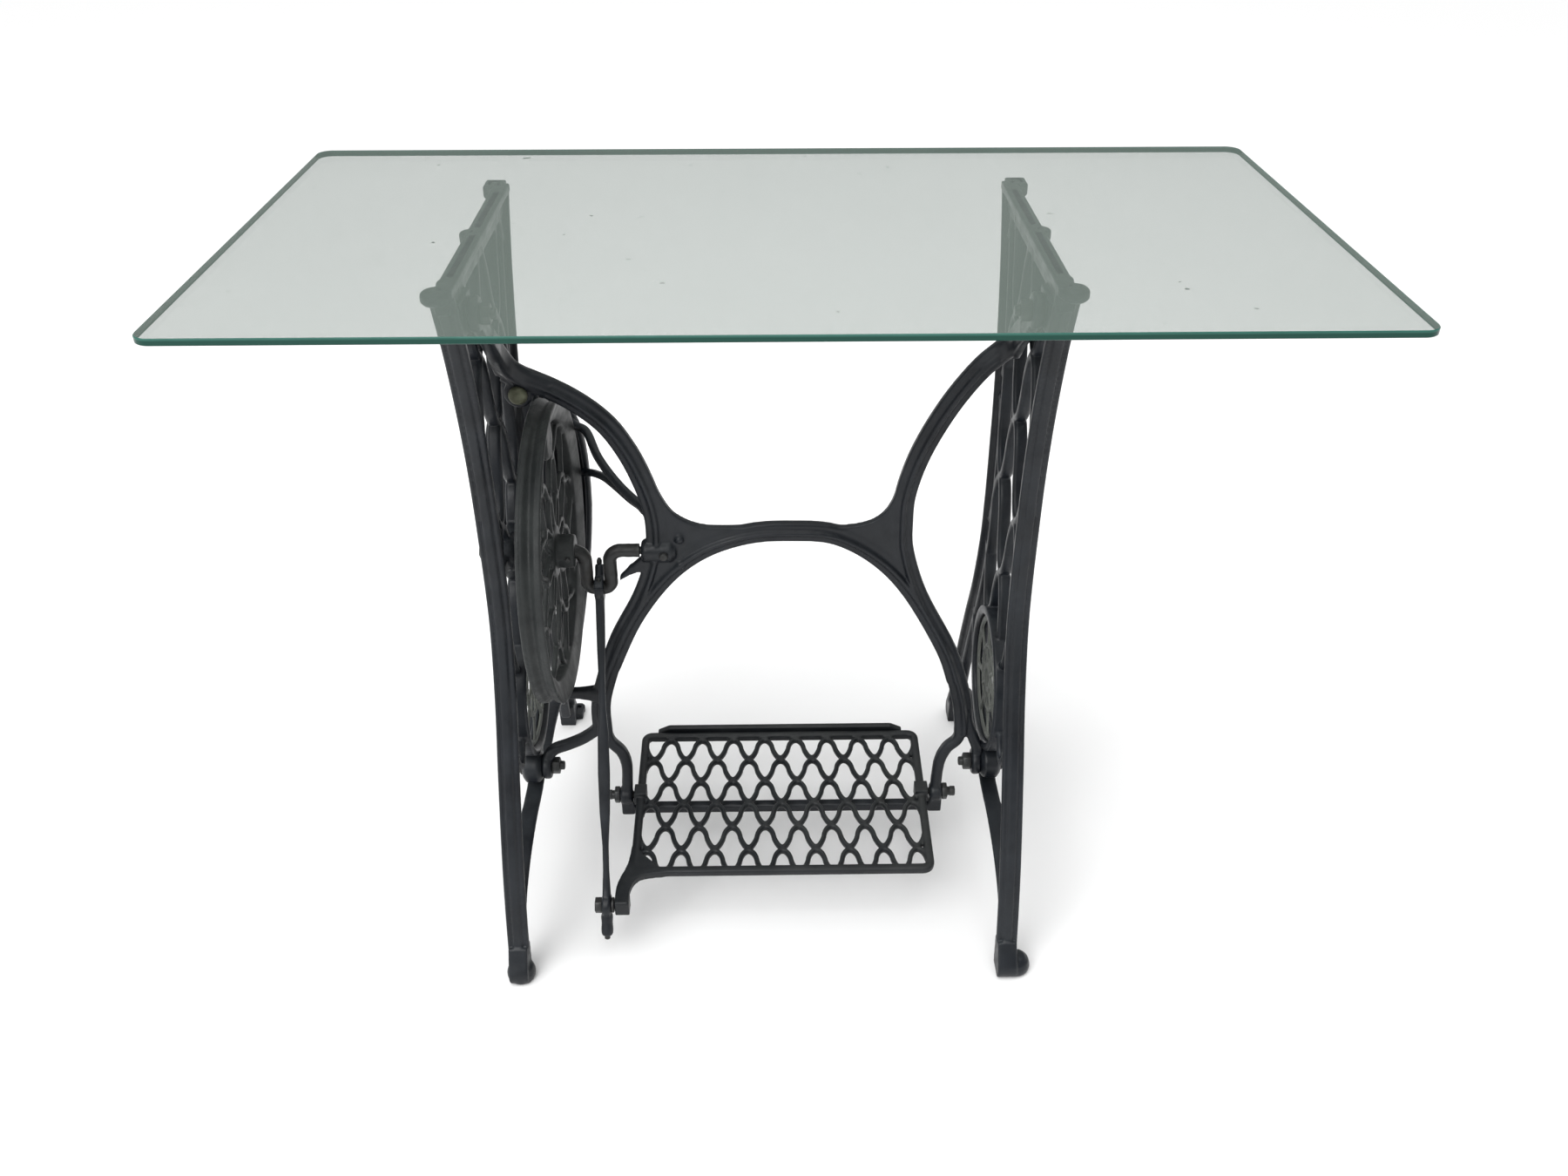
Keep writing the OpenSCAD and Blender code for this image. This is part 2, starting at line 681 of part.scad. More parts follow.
module pitman_rod() color(iron) pitman_place() {
    blade = [12.4, 7.6, 92];
    difference() {
        union() {
            intersection() {
                rotate([0, 90, 0]) cylinder(h = pitman_t, r = eye_r, center = true);
                translate([0, 0, -eye_r]) cube([40, 40, 2 * eye_r], center = true);
            }
            shank(8, 60, 4.6, 4.6);
            shank(60, 90, 4.6, 3.5);
            shank(90, 124, 3.5, 3.5);
            shank(124, 150, 3.5, 5.4);
            translate([-blade[0] / 2, -blade[1] / 2, -146 - blade[2]]) cube(blade);
            shank(234, 272, 5.4, 3.2);
            shank(272, 296, 3.2, 3.2);
            shank(296, pitman_len - 6, 3.2, 4.5);
            translate([0, 0, -pitman_len]) rotate([0, 90, 0])
                cylinder(h = pitman_t, r = 12, center = true);
            shank(pitman_len + 9, pitman_len + 33, 6.5, 6.5);
        }
        pitman_bore();
        translate([0, 0, -pitman_len]) rotate([0, 90, 0])
            cylinder(h = 30, r = bolt_r + 0.1, center = true);
        for (s = [-1, 1]) translate([0, s * 10, -12]) cylinder(h = 13, r = 1.6);
    }
}

module pitman_cap() color(iron) pitman_place() difference() {
    union() {
        intersection() {
            rotate([0, 90, 0]) cylinder(h = pitman_t, r = eye_r, center = true);
            translate([0, 0, eye_r]) cube([40, 40, 2 * eye_r], center = true);
        }
        cylinder(h = 24, r = 4.5);
    }
    pitman_bore();
    translate([0, 0, 5]) cylinder(h = 24, r = 1.5);
    for (s = [-1, 1]) translate([0, s * 10, -1]) {
        cylinder(h = 12, r = 1.6);
        translate([0, 0, 10]) cylinder(h = 8, r = 3.1);
    }
}

module pitman_cap_screws() color(steel) pitman_place() for (s = [-1, 1])
    translate([0, s * 10, -10]) {
        cylinder(h = 19, r = 1.5);
        translate([0, 0, 19]) cylinder(h = 2, r = 2.6);
    }

module pitman_oil_nipples() color(steel) pitman_place() {
    translate([0, 0, 20]) {
        cylinder(h = 4, r = 1.5);
        translate([0, 0, 4]) cylinder(h = 7, r = 2.8);
    }
    translate([0, 0, -pitman_len - 37]) cylinder(h = 4, r = 3);
}

module pitman_pin() color(steel) {
    bar_x(pitman_x - 12, -182, pitman_pin_pos, bolt_r);
    bar_x(-185.2, -182, pitman_pin_pos, 8);
}
module pitman_pin_nut() color(steel)
    locknut(pitman_x - 12, pitman_x - pitman_t / 2 - 0.1, pitman_pin_pos, 15, bolt_r);

// ---- Treadle ----

// Children lie in the plate's plane: x across, y away from the front, from the pivots.
module treadle_place() translate([treadle_x, drive_y, treadle_z])
    rotate([treadle_tilt, 0, 0]) children();

module treadle_lattice() {
    pitch = treadle_w / treadle_periods;
    row_h = (treadle_near + treadle_far) / treadle_rows;
    for (row = [0 : ceil(treadle_rows) - 1]) {
        phase = row % 2 == 0 ? pitch / 2 : 0;
        band(ogee_row(-treadle_w / 2 - 2, treadle_w / 2 + 2, treadle_far - (row + 0.5) * row_h,
                      row_h / 2 - 2, pitch, phase, 102, domed), 5.4);
    }
}

module rounded_rect(x0, x1, y0, y1, r) {
    translate([x0 + r, y0]) square([x1 - x0 - 2 * r, y1 - y0]);
    translate([x0, y0 + r]) square([x1 - x0, y1 - y0 - 2 * r]);
    for (x = [x0 + r, x1 - r], y = [y0 + r, y1 - r]) translate([x, y]) circle(r = r);
}

module treadle_outline() {
    half = treadle_w / 2;
    difference() {
        rounded_rect(-half - treadle_rail, half + treadle_rail,
                     -treadle_near - treadle_rail, treadle_far + treadle_rail, 12);
        rounded_rect(-half, half, -treadle_near, treadle_far, 5);
    }
    // Arm from the near left corner out to the pitman
    polygon(concat(
        spline([[-half - treadle_rail, -78], [-half - 12, -104], [-half - 19, -124],
                [-half - 22, -138], [-half - 22, -158]], 3),
        reversed(spline([[-half + 30, -treadle_near - treadle_rail], [-half + 2, -122],
                         [-half - 7, -138], [-half - 8, -158]], 3))));
}

module treadle_plate() color(iron) difference() {
    union() {
        treadle_place() {
            linear_extrude(9, center = true) treadle_outline();
            translate([0, 0, -1]) linear_extrude(7, center = true) treadle_lattice();
        }
        bar_x(-171, -157, [drive_y, treadle_z], 9);
        bar_x(147, 162, [drive_y, treadle_z], 9);
        bar_x(-181.2, -168, pitman_pin_pos, 8);
    }
    bar_x(-175, -162, [drive_y, treadle_z], tip_r - 0.5 + running_gap);
    bar_x(153, 165, [drive_y, treadle_z], tip_r - 0.5 + running_gap);
}

// Raised bar behind the far rail, which stops the feet slipping off.
module treadle_back_lip() color(iron) treadle_place()
    translate([0, treadle_far + treadle_rail, -4.5]) {
        width = 290;
        translate([-width / 2, 0, 0]) cube([width, 7, 14]);
    }

glass_top();
side_frame_left();
side_frame_right();
badge_left();
badge_right();
cross_brace();
brace_upper_bolts();
brace_upper_nuts();
brace_lower_bolts();
brace_lower_nuts();
wheel_bearing_screw();
wheel_bearing_locknut();
crank_pivot_screw();
crank_set_screw();
treadle_pivot_screws();
treadle_pivot_locknuts();
dress_guard();
guard_stay();
guard_hook();
guard_bolts();
flywheel();
crankshaft();
wheel_taper_pin();
pitman_rod();
pitman_cap();
pitman_cap_screws();
pitman_oil_nipples();
pitman_pin();
pitman_pin_nut();
treadle_plate();
treadle_back_lip();
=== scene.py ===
"""Looks of the treadle stand with a glass top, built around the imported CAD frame."""
import json
import math

import bpy
import bmesh
import numpy as np
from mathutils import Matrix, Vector


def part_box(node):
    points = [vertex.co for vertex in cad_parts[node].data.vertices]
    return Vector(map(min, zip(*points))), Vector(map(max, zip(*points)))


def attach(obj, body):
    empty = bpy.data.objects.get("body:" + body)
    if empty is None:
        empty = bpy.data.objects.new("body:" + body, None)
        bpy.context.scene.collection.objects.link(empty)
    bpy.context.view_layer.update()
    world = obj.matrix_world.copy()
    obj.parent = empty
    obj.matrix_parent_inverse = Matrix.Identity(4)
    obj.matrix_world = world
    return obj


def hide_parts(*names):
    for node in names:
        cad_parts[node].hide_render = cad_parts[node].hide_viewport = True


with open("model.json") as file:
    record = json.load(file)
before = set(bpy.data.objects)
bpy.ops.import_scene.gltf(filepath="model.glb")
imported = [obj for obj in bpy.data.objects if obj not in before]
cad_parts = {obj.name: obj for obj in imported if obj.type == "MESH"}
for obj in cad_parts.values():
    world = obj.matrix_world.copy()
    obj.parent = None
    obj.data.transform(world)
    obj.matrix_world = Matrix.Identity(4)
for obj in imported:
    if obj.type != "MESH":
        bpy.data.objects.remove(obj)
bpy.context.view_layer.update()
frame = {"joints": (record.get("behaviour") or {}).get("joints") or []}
MM = 0.001


def centre(node):
    lo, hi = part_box(node)
    return (lo + hi) / 2 / MM


def corners(node):
    """The two opposite corners of a node's box."""
    lo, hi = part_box(node)
    return np.array(lo) / MM, np.array(hi) / MM


# ---- Key places, in millimetres, read from the frame ----

joints = {j["name"]: j for j in frame["joints"]}
WHEEL = np.array(joints["wheel_spin"]["pos_m"]) / MM
CRANKPIN = np.array(joints["pitman_swing"]["pos_m"]) / MM
TREADLE = np.array(joints["treadle_rock"]["pos_m"]) / MM
DRIVE_Y = WHEEL[1]
GLASS_LO, GLASS_HI = corners("glass_top")
FRAME_TOP = GLASS_LO[2]
UPPER_BOLT = centre("brace_upper_nuts")
LOWER_BOLT = centre("brace_lower_nuts")
PITMAN_PIN = centre("pitman_pin_nut")
FRAME_Y = UPPER_BOLT[1] + 100
MEDALLION_Z = centre("badge_left")[2]

# Thicknesses that the pieces share, and the planes that follow from them
BOLT_HEAD = 5
FLANGE_HALF = 11
BRACE_T = 10
LEFT_X = corners("brace_upper_bolts")[0][0] + BOLT_HEAD + FLANGE_HALF
RIGHT_X = corners("brace_upper_bolts")[1][0] - BOLT_HEAD - FLANGE_HALF
INNER_LEFT, INNER_RIGHT = LEFT_X + FLANGE_HALF, RIGHT_X - FLANGE_HALF
BRACE_FRONT, BRACE_BACK = DRIVE_Y - BRACE_T / 2, DRIVE_Y + BRACE_T / 2


# ---- Curves ----

def spline(points, n=4):
    """Smooth curve through points, n steps between neighbours."""
    p = np.array(points, float)
    out = []
    last = len(p) - 1
    for i in range(last):
        a, b, c, d = p[max(i - 1, 0)], p[i], p[i + 1], p[min(i + 2, last)]
        for k in range(n + 1 if i == last - 1 else n):
            t = k / n
            out.append(0.5 * (2 * b + (c - a) * t + (2 * a - 5 * b + 4 * c - d) * t * t
                              + (3 * b - a - 3 * c + d) * t ** 3))
    return np.array(out)


def tangents(path, closed=False):
    if closed:
        t = np.roll(path, -1, 0) - np.roll(path, 1, 0)
    else:
        t = np.gradient(path, axis=0)
    return t / np.maximum(np.linalg.norm(t, axis=1)[:, None], 1e-9)


def ogee(angle, crest=0.75, trough=0.75):
    """A sine with rounder crests and troughs, the more so the lower their exponents."""
    s = math.sin(math.radians(angle))
    return math.copysign(abs(s) ** (crest if s > 0 else trough), s)


def resampled(path, step):
    """The path with points about step apart."""
    d = np.r_[0, np.cumsum(np.linalg.norm(np.diff(path, axis=0), axis=1))]
    n = max(2, int(d[-1] / step) + 1)
    s = np.linspace(0, d[-1], n)
    return np.column_stack([np.interp(s, d, path[:, k]) for k in range(path.shape[1])])


def circle(n):
    """Points of a unit circle."""
    angles = [2 * math.pi * k / n for k in range(n)]
    return [(math.cos(a), math.sin(a)) for a in angles]


# ---- Closed solids, as (vertices, faces) in millimetres ----

def tube_faces(m, n, closed=False):
    """Faces of a tube of n loops with m points each, capped unless it is closed."""
    faces = []
    for i in range(n if closed else n - 1):
        a, b = i * m, (i + 1) % n * m
        faces += [(a + k, a + (k + 1) % m, b + (k + 1) % m, b + k) for k in range(m)]
    if not closed:
        faces += [tuple(range(m))[::-1], tuple(range((n - 1) * m, n * m))]
    return faces


def across(axis):
    """Two unit vectors square to axis and to each other."""
    u = np.cross(axis, [0, 0, 1] if abs(axis[2]) < 0.9 else [1, 0, 0])
    u /= np.linalg.norm(u)
    return u, np.cross(axis, u)


def sweep(path, profile, normal, closed=False, scale=None, turn=None):
    """Sweep profile, a loop of (sideways, along normal), along a 3-D path."""
    path = np.array(path, float)
    profile = np.array(profile, float)
    t = tangents(path, closed)
    n0 = np.array(normal, float)
    verts = []
    for i, (p, d) in enumerate(zip(path, t)):
        side = np.cross(n0, d)
        side /= max(np.linalg.norm(side), 1e-9)
        up = np.cross(d, side)
        loop = profile * (1 if scale is None else scale[i])
        if turn is not None:
            c, s = math.cos(turn[i]), math.sin(turn[i])
            loop = loop @ np.array([[c, s], [-s, c]])
        verts += [p + q[0] * side + q[1] * up for q in loop]
    return np.array(verts), tube_faces(len(profile), len(path), closed)


def lathe(profile, origin, axis, n=48):
    """Turn profile, an open line of (radius, along) whose ends lie on the axis, into a solid."""
    origin, axis = np.array(origin, float), np.array(axis, float)
    axis /= np.linalg.norm(axis)
    u, v = across(axis)
    mid = profile[1:-1]
    verts = [origin + axis * profile[0][1], origin + axis * profile[-1][1]]
    for k in range(n):
        a = 2 * math.pi * k / n
        verts += [origin + r * (math.cos(a) * u + math.sin(a) * v) + h * axis for r, h in mid]
    m = len(mid)
    faces = []
    for k in range(n):
        a, b = 2 + k * m, 2 + (k + 1) % n * m
        faces += [(a + i, b + i, b + i + 1, a + i + 1) for i in range(m - 1)]
        faces += [(0, b, a), (1, a + m - 1, b + m - 1)]
    return np.array(verts), faces


def ring(profile, origin, axis, n=96):
    """Turn a closed loop of (radius, along) about an axis."""
    origin, axis = np.array(origin, float), np.array(axis, float)
    u, v = across(axis)
    m = len(profile)
    verts, faces = [], []
    for k in range(n):
        a = 2 * math.pi * k / n
        verts += [origin + r * (math.cos(a) * u + math.sin(a) * v) + h * axis
                  for r, h in profile]
        i, j = k * m, (k + 1) % n * m
        faces += [(i + q, j + q, j + (q + 1) % m, i + (q + 1) % m) for q in range(m)]
    return np.array(verts), faces


def disc(r, x0, x1, origin, axis=(1, 0, 0), edge=1.5, n=48):
    """A round plate or boss with softened rims between x0 and x1 along axis."""
    e = min(edge, r * 0.4, (x1 - x0) * 0.4)
    return lathe([(0, x0), (r - e, x0), (r, x0 + e), (r, x1 - e), (r - e, x1), (0, x1)],
                 origin, axis, n)


def plate(outline, lift, place):
    """Extrude an outline of (u, v) between the two values of lift; place maps (u, v, w)."""
    o = np.array(outline, float)
    m = len(o)
    verts = [place(u, v, w) for w in lift for u, v in o]
    faces = [tuple(range(m))[::-1], tuple(range(m, 2 * m))]
    faces += [(k, (k + 1) % m, m + (k + 1) % m, m + k) for k in range(m)]
    return np.array(verts), faces


def block(lo, hi):
    x, y, z = zip(lo, hi)
    v = np.array([(x[i], y[j], z[k]) for i in (0, 1) for j in (0, 1) for k in (0, 1)], float)
    return v, [(0, 1, 3, 2), (4, 6, 7, 5), (0, 4, 5, 1), (2, 3, 7, 6), (0, 2, 6, 4), (1, 5, 7, 3)]


def hexagon(x0, x1, yz, af):
    r = af / math.sqrt(3)
    ring_points = [(yz[0] + r * math.cos(math.pi * k / 3), yz[1] + r * math.sin(math.pi * k / 3))
                   for k in range(6)]
    return plate(ring_points, (x0, x1), lambda u, v, w: (w, u, v))


# ---- Objects ----

def mesh_object(name, solids, body, material):
    """One object from closed solids given in millimetres."""
    verts, faces, base = [], [], 0
    for v, f in solids:
        verts.append(v)
        faces += [tuple(base + i for i in q) for q in f]
        base += len(v)
    mesh = bpy.data.meshes.new(name)
    mesh.from_pydata((np.vstack(verts) * MM).tolist(), [], faces)
    bm = bmesh.new()
    bm.from_mesh(mesh)
    bmesh.ops.recalc_face_normals(bm, faces=bm.faces)
    bm.to_mesh(mesh)
    bm.free()
    mesh.materials.append(material)
    obj = bpy.data.objects.new(name, mesh)
    bpy.context.scene.collection.objects.link(obj)
    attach(obj, body)
    return obj


def apply_modifiers(obj):
    graph = bpy.context.evaluated_depsgraph_get()
    graph.update()
    new = bpy.data.meshes.new_from_object(obj.evaluated_get(graph))
    old = obj.data
    mats = list(old.materials)
    obj.modifiers.clear()
    obj.data = new
    new.materials.clear()
    for m in mats:
        new.materials.append(m)
    new.name = obj.name
    bpy.data.meshes.remove(old)


def shade_smooth(obj, angle=None):
    obj.data.polygons.foreach_set("use_smooth", [True] * len(obj.data.polygons))
    if angle is not None:
        obj.data.set_sharp_from_angle(angle=math.radians(angle))


def casting(name, solids, body, material, nodes, voxel=1.5, rounds=4):
    """Fuses overlapping solids into one casting with soft fillets."""
    obj = mesh_object(name, solids, body, material)
    remesh = obj.modifiers.new("fuse", "REMESH")
    remesh.mode = "VOXEL"
    remesh.voxel_size = voxel * 1 * MM
    smooth = obj.modifiers.new("soften", "SMOOTH")
    smooth.factor = 0.5
    smooth.iterations = rounds
    apply_modifiers(obj)
    shade_smooth(obj)
    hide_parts(*nodes)
    return obj


def machined(name, solids, body, slot_name, material, nodes, bevel=0.5, segments=2):
    """Turned or hexagonal steel pieces with chamfered edges."""
    obj = mesh_object(name, solids, body, material)
    mod = obj.modifiers.new("chamfer", "BEVEL")
    mod.width = bevel * MM
    mod.segments = segments
    mod.limit_method = "ANGLE"
    mod.angle_limit = math.radians(28)
    apply_modifiers(obj)
    shade_smooth(obj, 40)
    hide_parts(*nodes)
    return obj


# ---- Materials ----

class Shader:
    """Small helper that builds one node material."""

    def __init__(self, name):
        self.mat = bpy.data.materials.new(name)
        self.mat.use_nodes = True
        self.tree = self.mat.node_tree
        self.tree.nodes.clear()
        self.bsdf = self.node("ShaderNodeBsdfPrincipled")
        out = self.node("ShaderNodeOutputMaterial")
        self.link(self.bsdf.outputs[0], out.inputs[0])
        self.coords = self.node("ShaderNodeTexCoord").outputs["Object"]

    def node(self, kind, **values):
        n = self.tree.nodes.new(kind)
        for key, value in values.items():
            setattr(n, key, value)
        return n

    def link(self, a, b):
        self.tree.links.new(a, b)

    def noise(self, scale, detail=4, rough=0.55, stretch=None):
        n = self.node("ShaderNodeTexNoise")
        n.inputs["Scale"].default_value = scale
        n.inputs["Detail"].default_value = detail
        n.inputs["Roughness"].default_value = rough
        source = self.coords
        if stretch:
            m = self.node("ShaderNodeMapping")
            m.inputs["Scale"].default_value = stretch
            self.link(self.coords, m.inputs[0])
            source = m.outputs[0]
        self.link(source, n.inputs["Vector"])
        return n.outputs["Fac"]

    def ramp(self, value, lo, hi, out_lo=0.0, out_hi=1.0):
        m = self.node("ShaderNodeMapRange")
        m.inputs["From Min"].default_value = lo
        m.inputs["From Max"].default_value = hi
        m.inputs["To Min"].default_value = out_lo
        m.inputs["To Max"].default_value = out_hi
        self.link(value, m.inputs["Value"])
        return m.outputs[0]

    def math(self, op, a, b=None):
        m = self.node("ShaderNodeMath", operation=op)
        for i, v in enumerate((a, b)):
            if v is None:
                continue
            if isinstance(v, (int, float)):
                m.inputs[i].default_value = v
            else:
                self.link(v, m.inputs[i])
        return m.outputs[0]

    def mix(self, factor, a, b):
        m = self.node("ShaderNodeMix", data_type="RGBA")
        if isinstance(factor, (int, float)):
            m.inputs["Factor"].default_value = factor
        else:
            self.link(factor, m.inputs["Factor"])
        for key, v in (("A", a), ("B", b)):
            socket = [s for s in m.inputs if s.name == key and s.type == "RGBA"][0]
            if isinstance(v, tuple):
                socket.default_value = (*v, 1)
            else:
                self.link(v, socket)
        return [s for s in m.outputs if s.type == "RGBA"][0]

    def bump(self, height, strength, distance):
        b = self.node("ShaderNodeBump")
        b.inputs["Strength"].default_value = strength
        b.inputs["Distance"].default_value = distance
        self.link(height, b.inputs["Height"])
        return b

    def up(self):
        """How far the surface faces upwards, 0 to 1."""
        g = self.node("ShaderNodeNewGeometry")
        s = self.node("ShaderNodeSeparateXYZ")
        self.link(g.outputs["Normal"], s.inputs[0])
        return s.outputs["Z"]

    def edges(self, lo=0.52, hi=0.62):
        g = self.node("ShaderNodeNewGeometry")
        return self.ramp(g.outputs["Pointiness"], lo, hi)


def iron_material(name, base, dark, dust_and_highlight_colour, top_dust_and_highlight_amount, rough=(0.34, 0.6), edge_wear_and_highlight=0.35, grit=1.0):
    """Old black enamel on cast iron: blotchy satin, upper faces lighter with dust and a painted
    highlight, edges lighter with wear and a painted highlight.
    """
    s = Shader(name)
    blotch = s.ramp(s.noise(22, 5), 0.35, 0.7)
    colour = s.mix(blotch, dark, base)
    streak = s.ramp(s.noise(9, 6, 0.65, (1, 1, 0.35)), 0.45, 0.75)
    # Upward faces go lighter: dust, and in part a painted highlight from the light above.
    facing = s.ramp(s.up(), -0.1, 0.95)
    amount = s.math("MULTIPLY", s.math("MULTIPLY", facing, streak), top_dust_and_highlight_amount)
    speck = s.ramp(s.noise(420, 2), 0.70, 0.80)
    amount = s.math("MAXIMUM", amount, s.math("MULTIPLY", speck, 0.28 * grit))
    colour = s.mix(amount, colour, dust_and_highlight_colour)
    # Convex edges go lighter: worn paint, and in part a painted highlight.
    edge_lightening = s.math("MULTIPLY", s.edges(), s.ramp(s.noise(60, 4), 0.35, 0.65))
    colour = s.mix(s.math("MULTIPLY", edge_lightening, edge_wear_and_highlight), colour, tuple(min(1, 3.2 * c) for c in base))
    s.link(colour, s.bsdf.inputs["Base Color"])
    gloss = s.ramp(s.noise(45, 5, 0.6), 0.3, 0.7, *rough)
    s.link(s.math("MINIMUM", s.math("ADD", gloss, s.math("MULTIPLY", amount, 0.35)), 0.95),
           s.bsdf.inputs["Roughness"])
    s.bsdf.inputs["Specular IOR Level"].default_value = 0.32
    coarse = s.bump(s.noise(160, 5, 0.6), 0.35 * grit, 0.0006)
    fine = s.bump(s.noise(900, 3, 0.6), 0.25 * grit, 0.00025)
    s.link(coarse.outputs[0], fine.inputs["Normal"])
    s.link(fine.outputs[0], s.bsdf.inputs["Normal"])
    return s.mat


def steel_material(name, base, rust, rust_amount):
    """Dark oxidised steel with brown patches."""
    s = Shader(name)
    patch = s.ramp(s.noise(70, 6, 0.65), 0.45, 0.72)
    colour = s.mix(s.math("MULTIPLY", patch, rust_amount), base, rust)
    edge_lightening = s.math("MULTIPLY", s.edges(0.51, 0.58), 0.5)
    colour = s.mix(edge_lightening, colour, tuple(min(1, 2.6 * c) for c in base))
    s.link(colour, s.bsdf.inputs["Base Color"])
    s.link(s.ramp(patch, 0, 1, 0.38, 0.72), s.bsdf.inputs["Roughness"])
    s.bsdf.inputs["Metallic"].default_value = 0.55
    b = s.bump(s.noise(500, 4, 0.6), 0.3, 0.0003)
    s.link(b.outputs[0], s.bsdf.inputs["Normal"])
    return s.mat


IRON = iron_material("black_iron", (0.0110, 0.0140, 0.0185), (0.0045, 0.0060, 0.0085),
                     (0.055, 0.063, 0.066), 0.40, (0.28, 0.52))
BRACE_IRON = iron_material("brace_iron", (0.0105, 0.0130, 0.0170), (0.0042, 0.0056, 0.0080),
                           (0.055, 0.063, 0.066), 0.36, (0.28, 0.52))
TREADLE_IRON = iron_material("treadle_iron", (0.0115, 0.0135, 0.0155), (0.0045, 0.0060, 0.0075),
                             (0.075, 0.078, 0.072), 0.32, edge_wear_and_highlight=0.5, grit=1.5)
WHEEL_IRON = iron_material("wheel_iron", (0.0205, 0.0235, 0.0235), (0.0090, 0.0110, 0.0115),
                           (0.080, 0.087, 0.082), 0.45, (0.40, 0.64), 0.22, 1.3)
# On the badge the pale dust colour on upper faces is in part a painted highlight of its raised
# rims.
GREY_IRON = iron_material("grey_badge", (0.120, 0.128, 0.114), (0.055, 0.060, 0.055),
                          (0.20, 0.21, 0.19), 0.4, (0.5, 0.75), 0.4, 1.4)
STEEL = steel_material("dark_steel", (0.026, 0.027, 0.027), (0.026, 0.018, 0.013), 0.4)
BOLT_GREEN = steel_material("aged_bolts", (0.085, 0.090, 0.058), (0.030, 0.024, 0.016), 0.7)

# ---- Side frames ----

LEG_FACE = [(150, 722), (140, 700), (123, 655), (106, 590), (96, 525), (93, 460), (93, 400),
            (99, 350), (120, 283), (149, 217), (180, 140), (199, 80), (211, 30)]
FAR_SPLAY = 14
LATTICE_ROWS, LATTICE_ROW_H, LATTICE_PERIOD = 6, 88, 96
RING_R = 80
ANKLE_ARCH = [(-190, 60), (-168, 78), (-130, 92), (-80, 99), (-40, 98), (0, 102),
              (40, 98), (80, 99), (130, 92), (168, 78), (190, 60)]
# Across a leg: distance behind its outer face, and offset along X.
LEG_SECTION = [(3.6, -11), (1.8, -9.8), (1.8, -7.4), (3.6, -6.3), (3.6, -5.2), (0, -4), (0, 4),
               (3.6, 5.2), (3.6, 6.3), (1.8, 7.4), (1.8, 9.8), (3.6, 11), (7.5, 11), (8.8, 9.5),
               (9.5, 4.2), (18, 3.6), (19.5, 6), (24.5, 6), (26, 4.6), (26, -4.6), (24.5, -6),
               (19.5, -6), (18, -3.6), (9.5, -4.2), (8.8, -9.5), (7.5, -11)]
BAR_SECTION = [(-4, -4), (-2.8, -6), (-0.8, -6.6), (0.8, -6.6), (2.8, -6), (4, -4), (4, 4),
               (2.8, 6), (0.8, 6.6), (-0.8, 6.6), (-2.8, 6), (-4, 4)]


def leg_faces():
    near = spline(LEG_FACE, 6)
    far = spline([(u + FAR_SPLAY * max(0, 1 - v / 300), v) for u, v in LEG_FACE], 6)
    return near, far


def lattice_paths(near):
    """Ogee rows of the side frame, cut to the space between the legs and round the ring."""
    order = np.argsort(near[:, 1])
    zs, us = near[order, 1], near[order, 0] - 12
    height = LATTICE_ROW_H / 2 - 2
    paths = []
    for row in range(LATTICE_ROWS):
        phase = 0 if row % 2 == 0 else LATTICE_PERIOD / 2
        level = FRAME_TOP - 12 - (row + 0.5) * LATTICE_ROW_H
        u = np.linspace(-144, 144, 145)
        v = level + height * np.array([ogee(90 + 360 * (a - phase) / LATTICE_PERIOD) for a in u])
        keep = ((np.abs(u) < np.interp(v, zs, us)) & (v > MEDALLION_Z - 40)
                & (np.hypot(u, v - MEDALLION_Z) > RING_R - 3))
        run = []
        for k in range(len(u)):
            if keep[k]:
                run.append((u[k], v[k]))
            if run and (not keep[k] or k == len(u) - 1):
                if len(run) > 3:
                    paths.append(np.array(run))
                run = []
    return paths


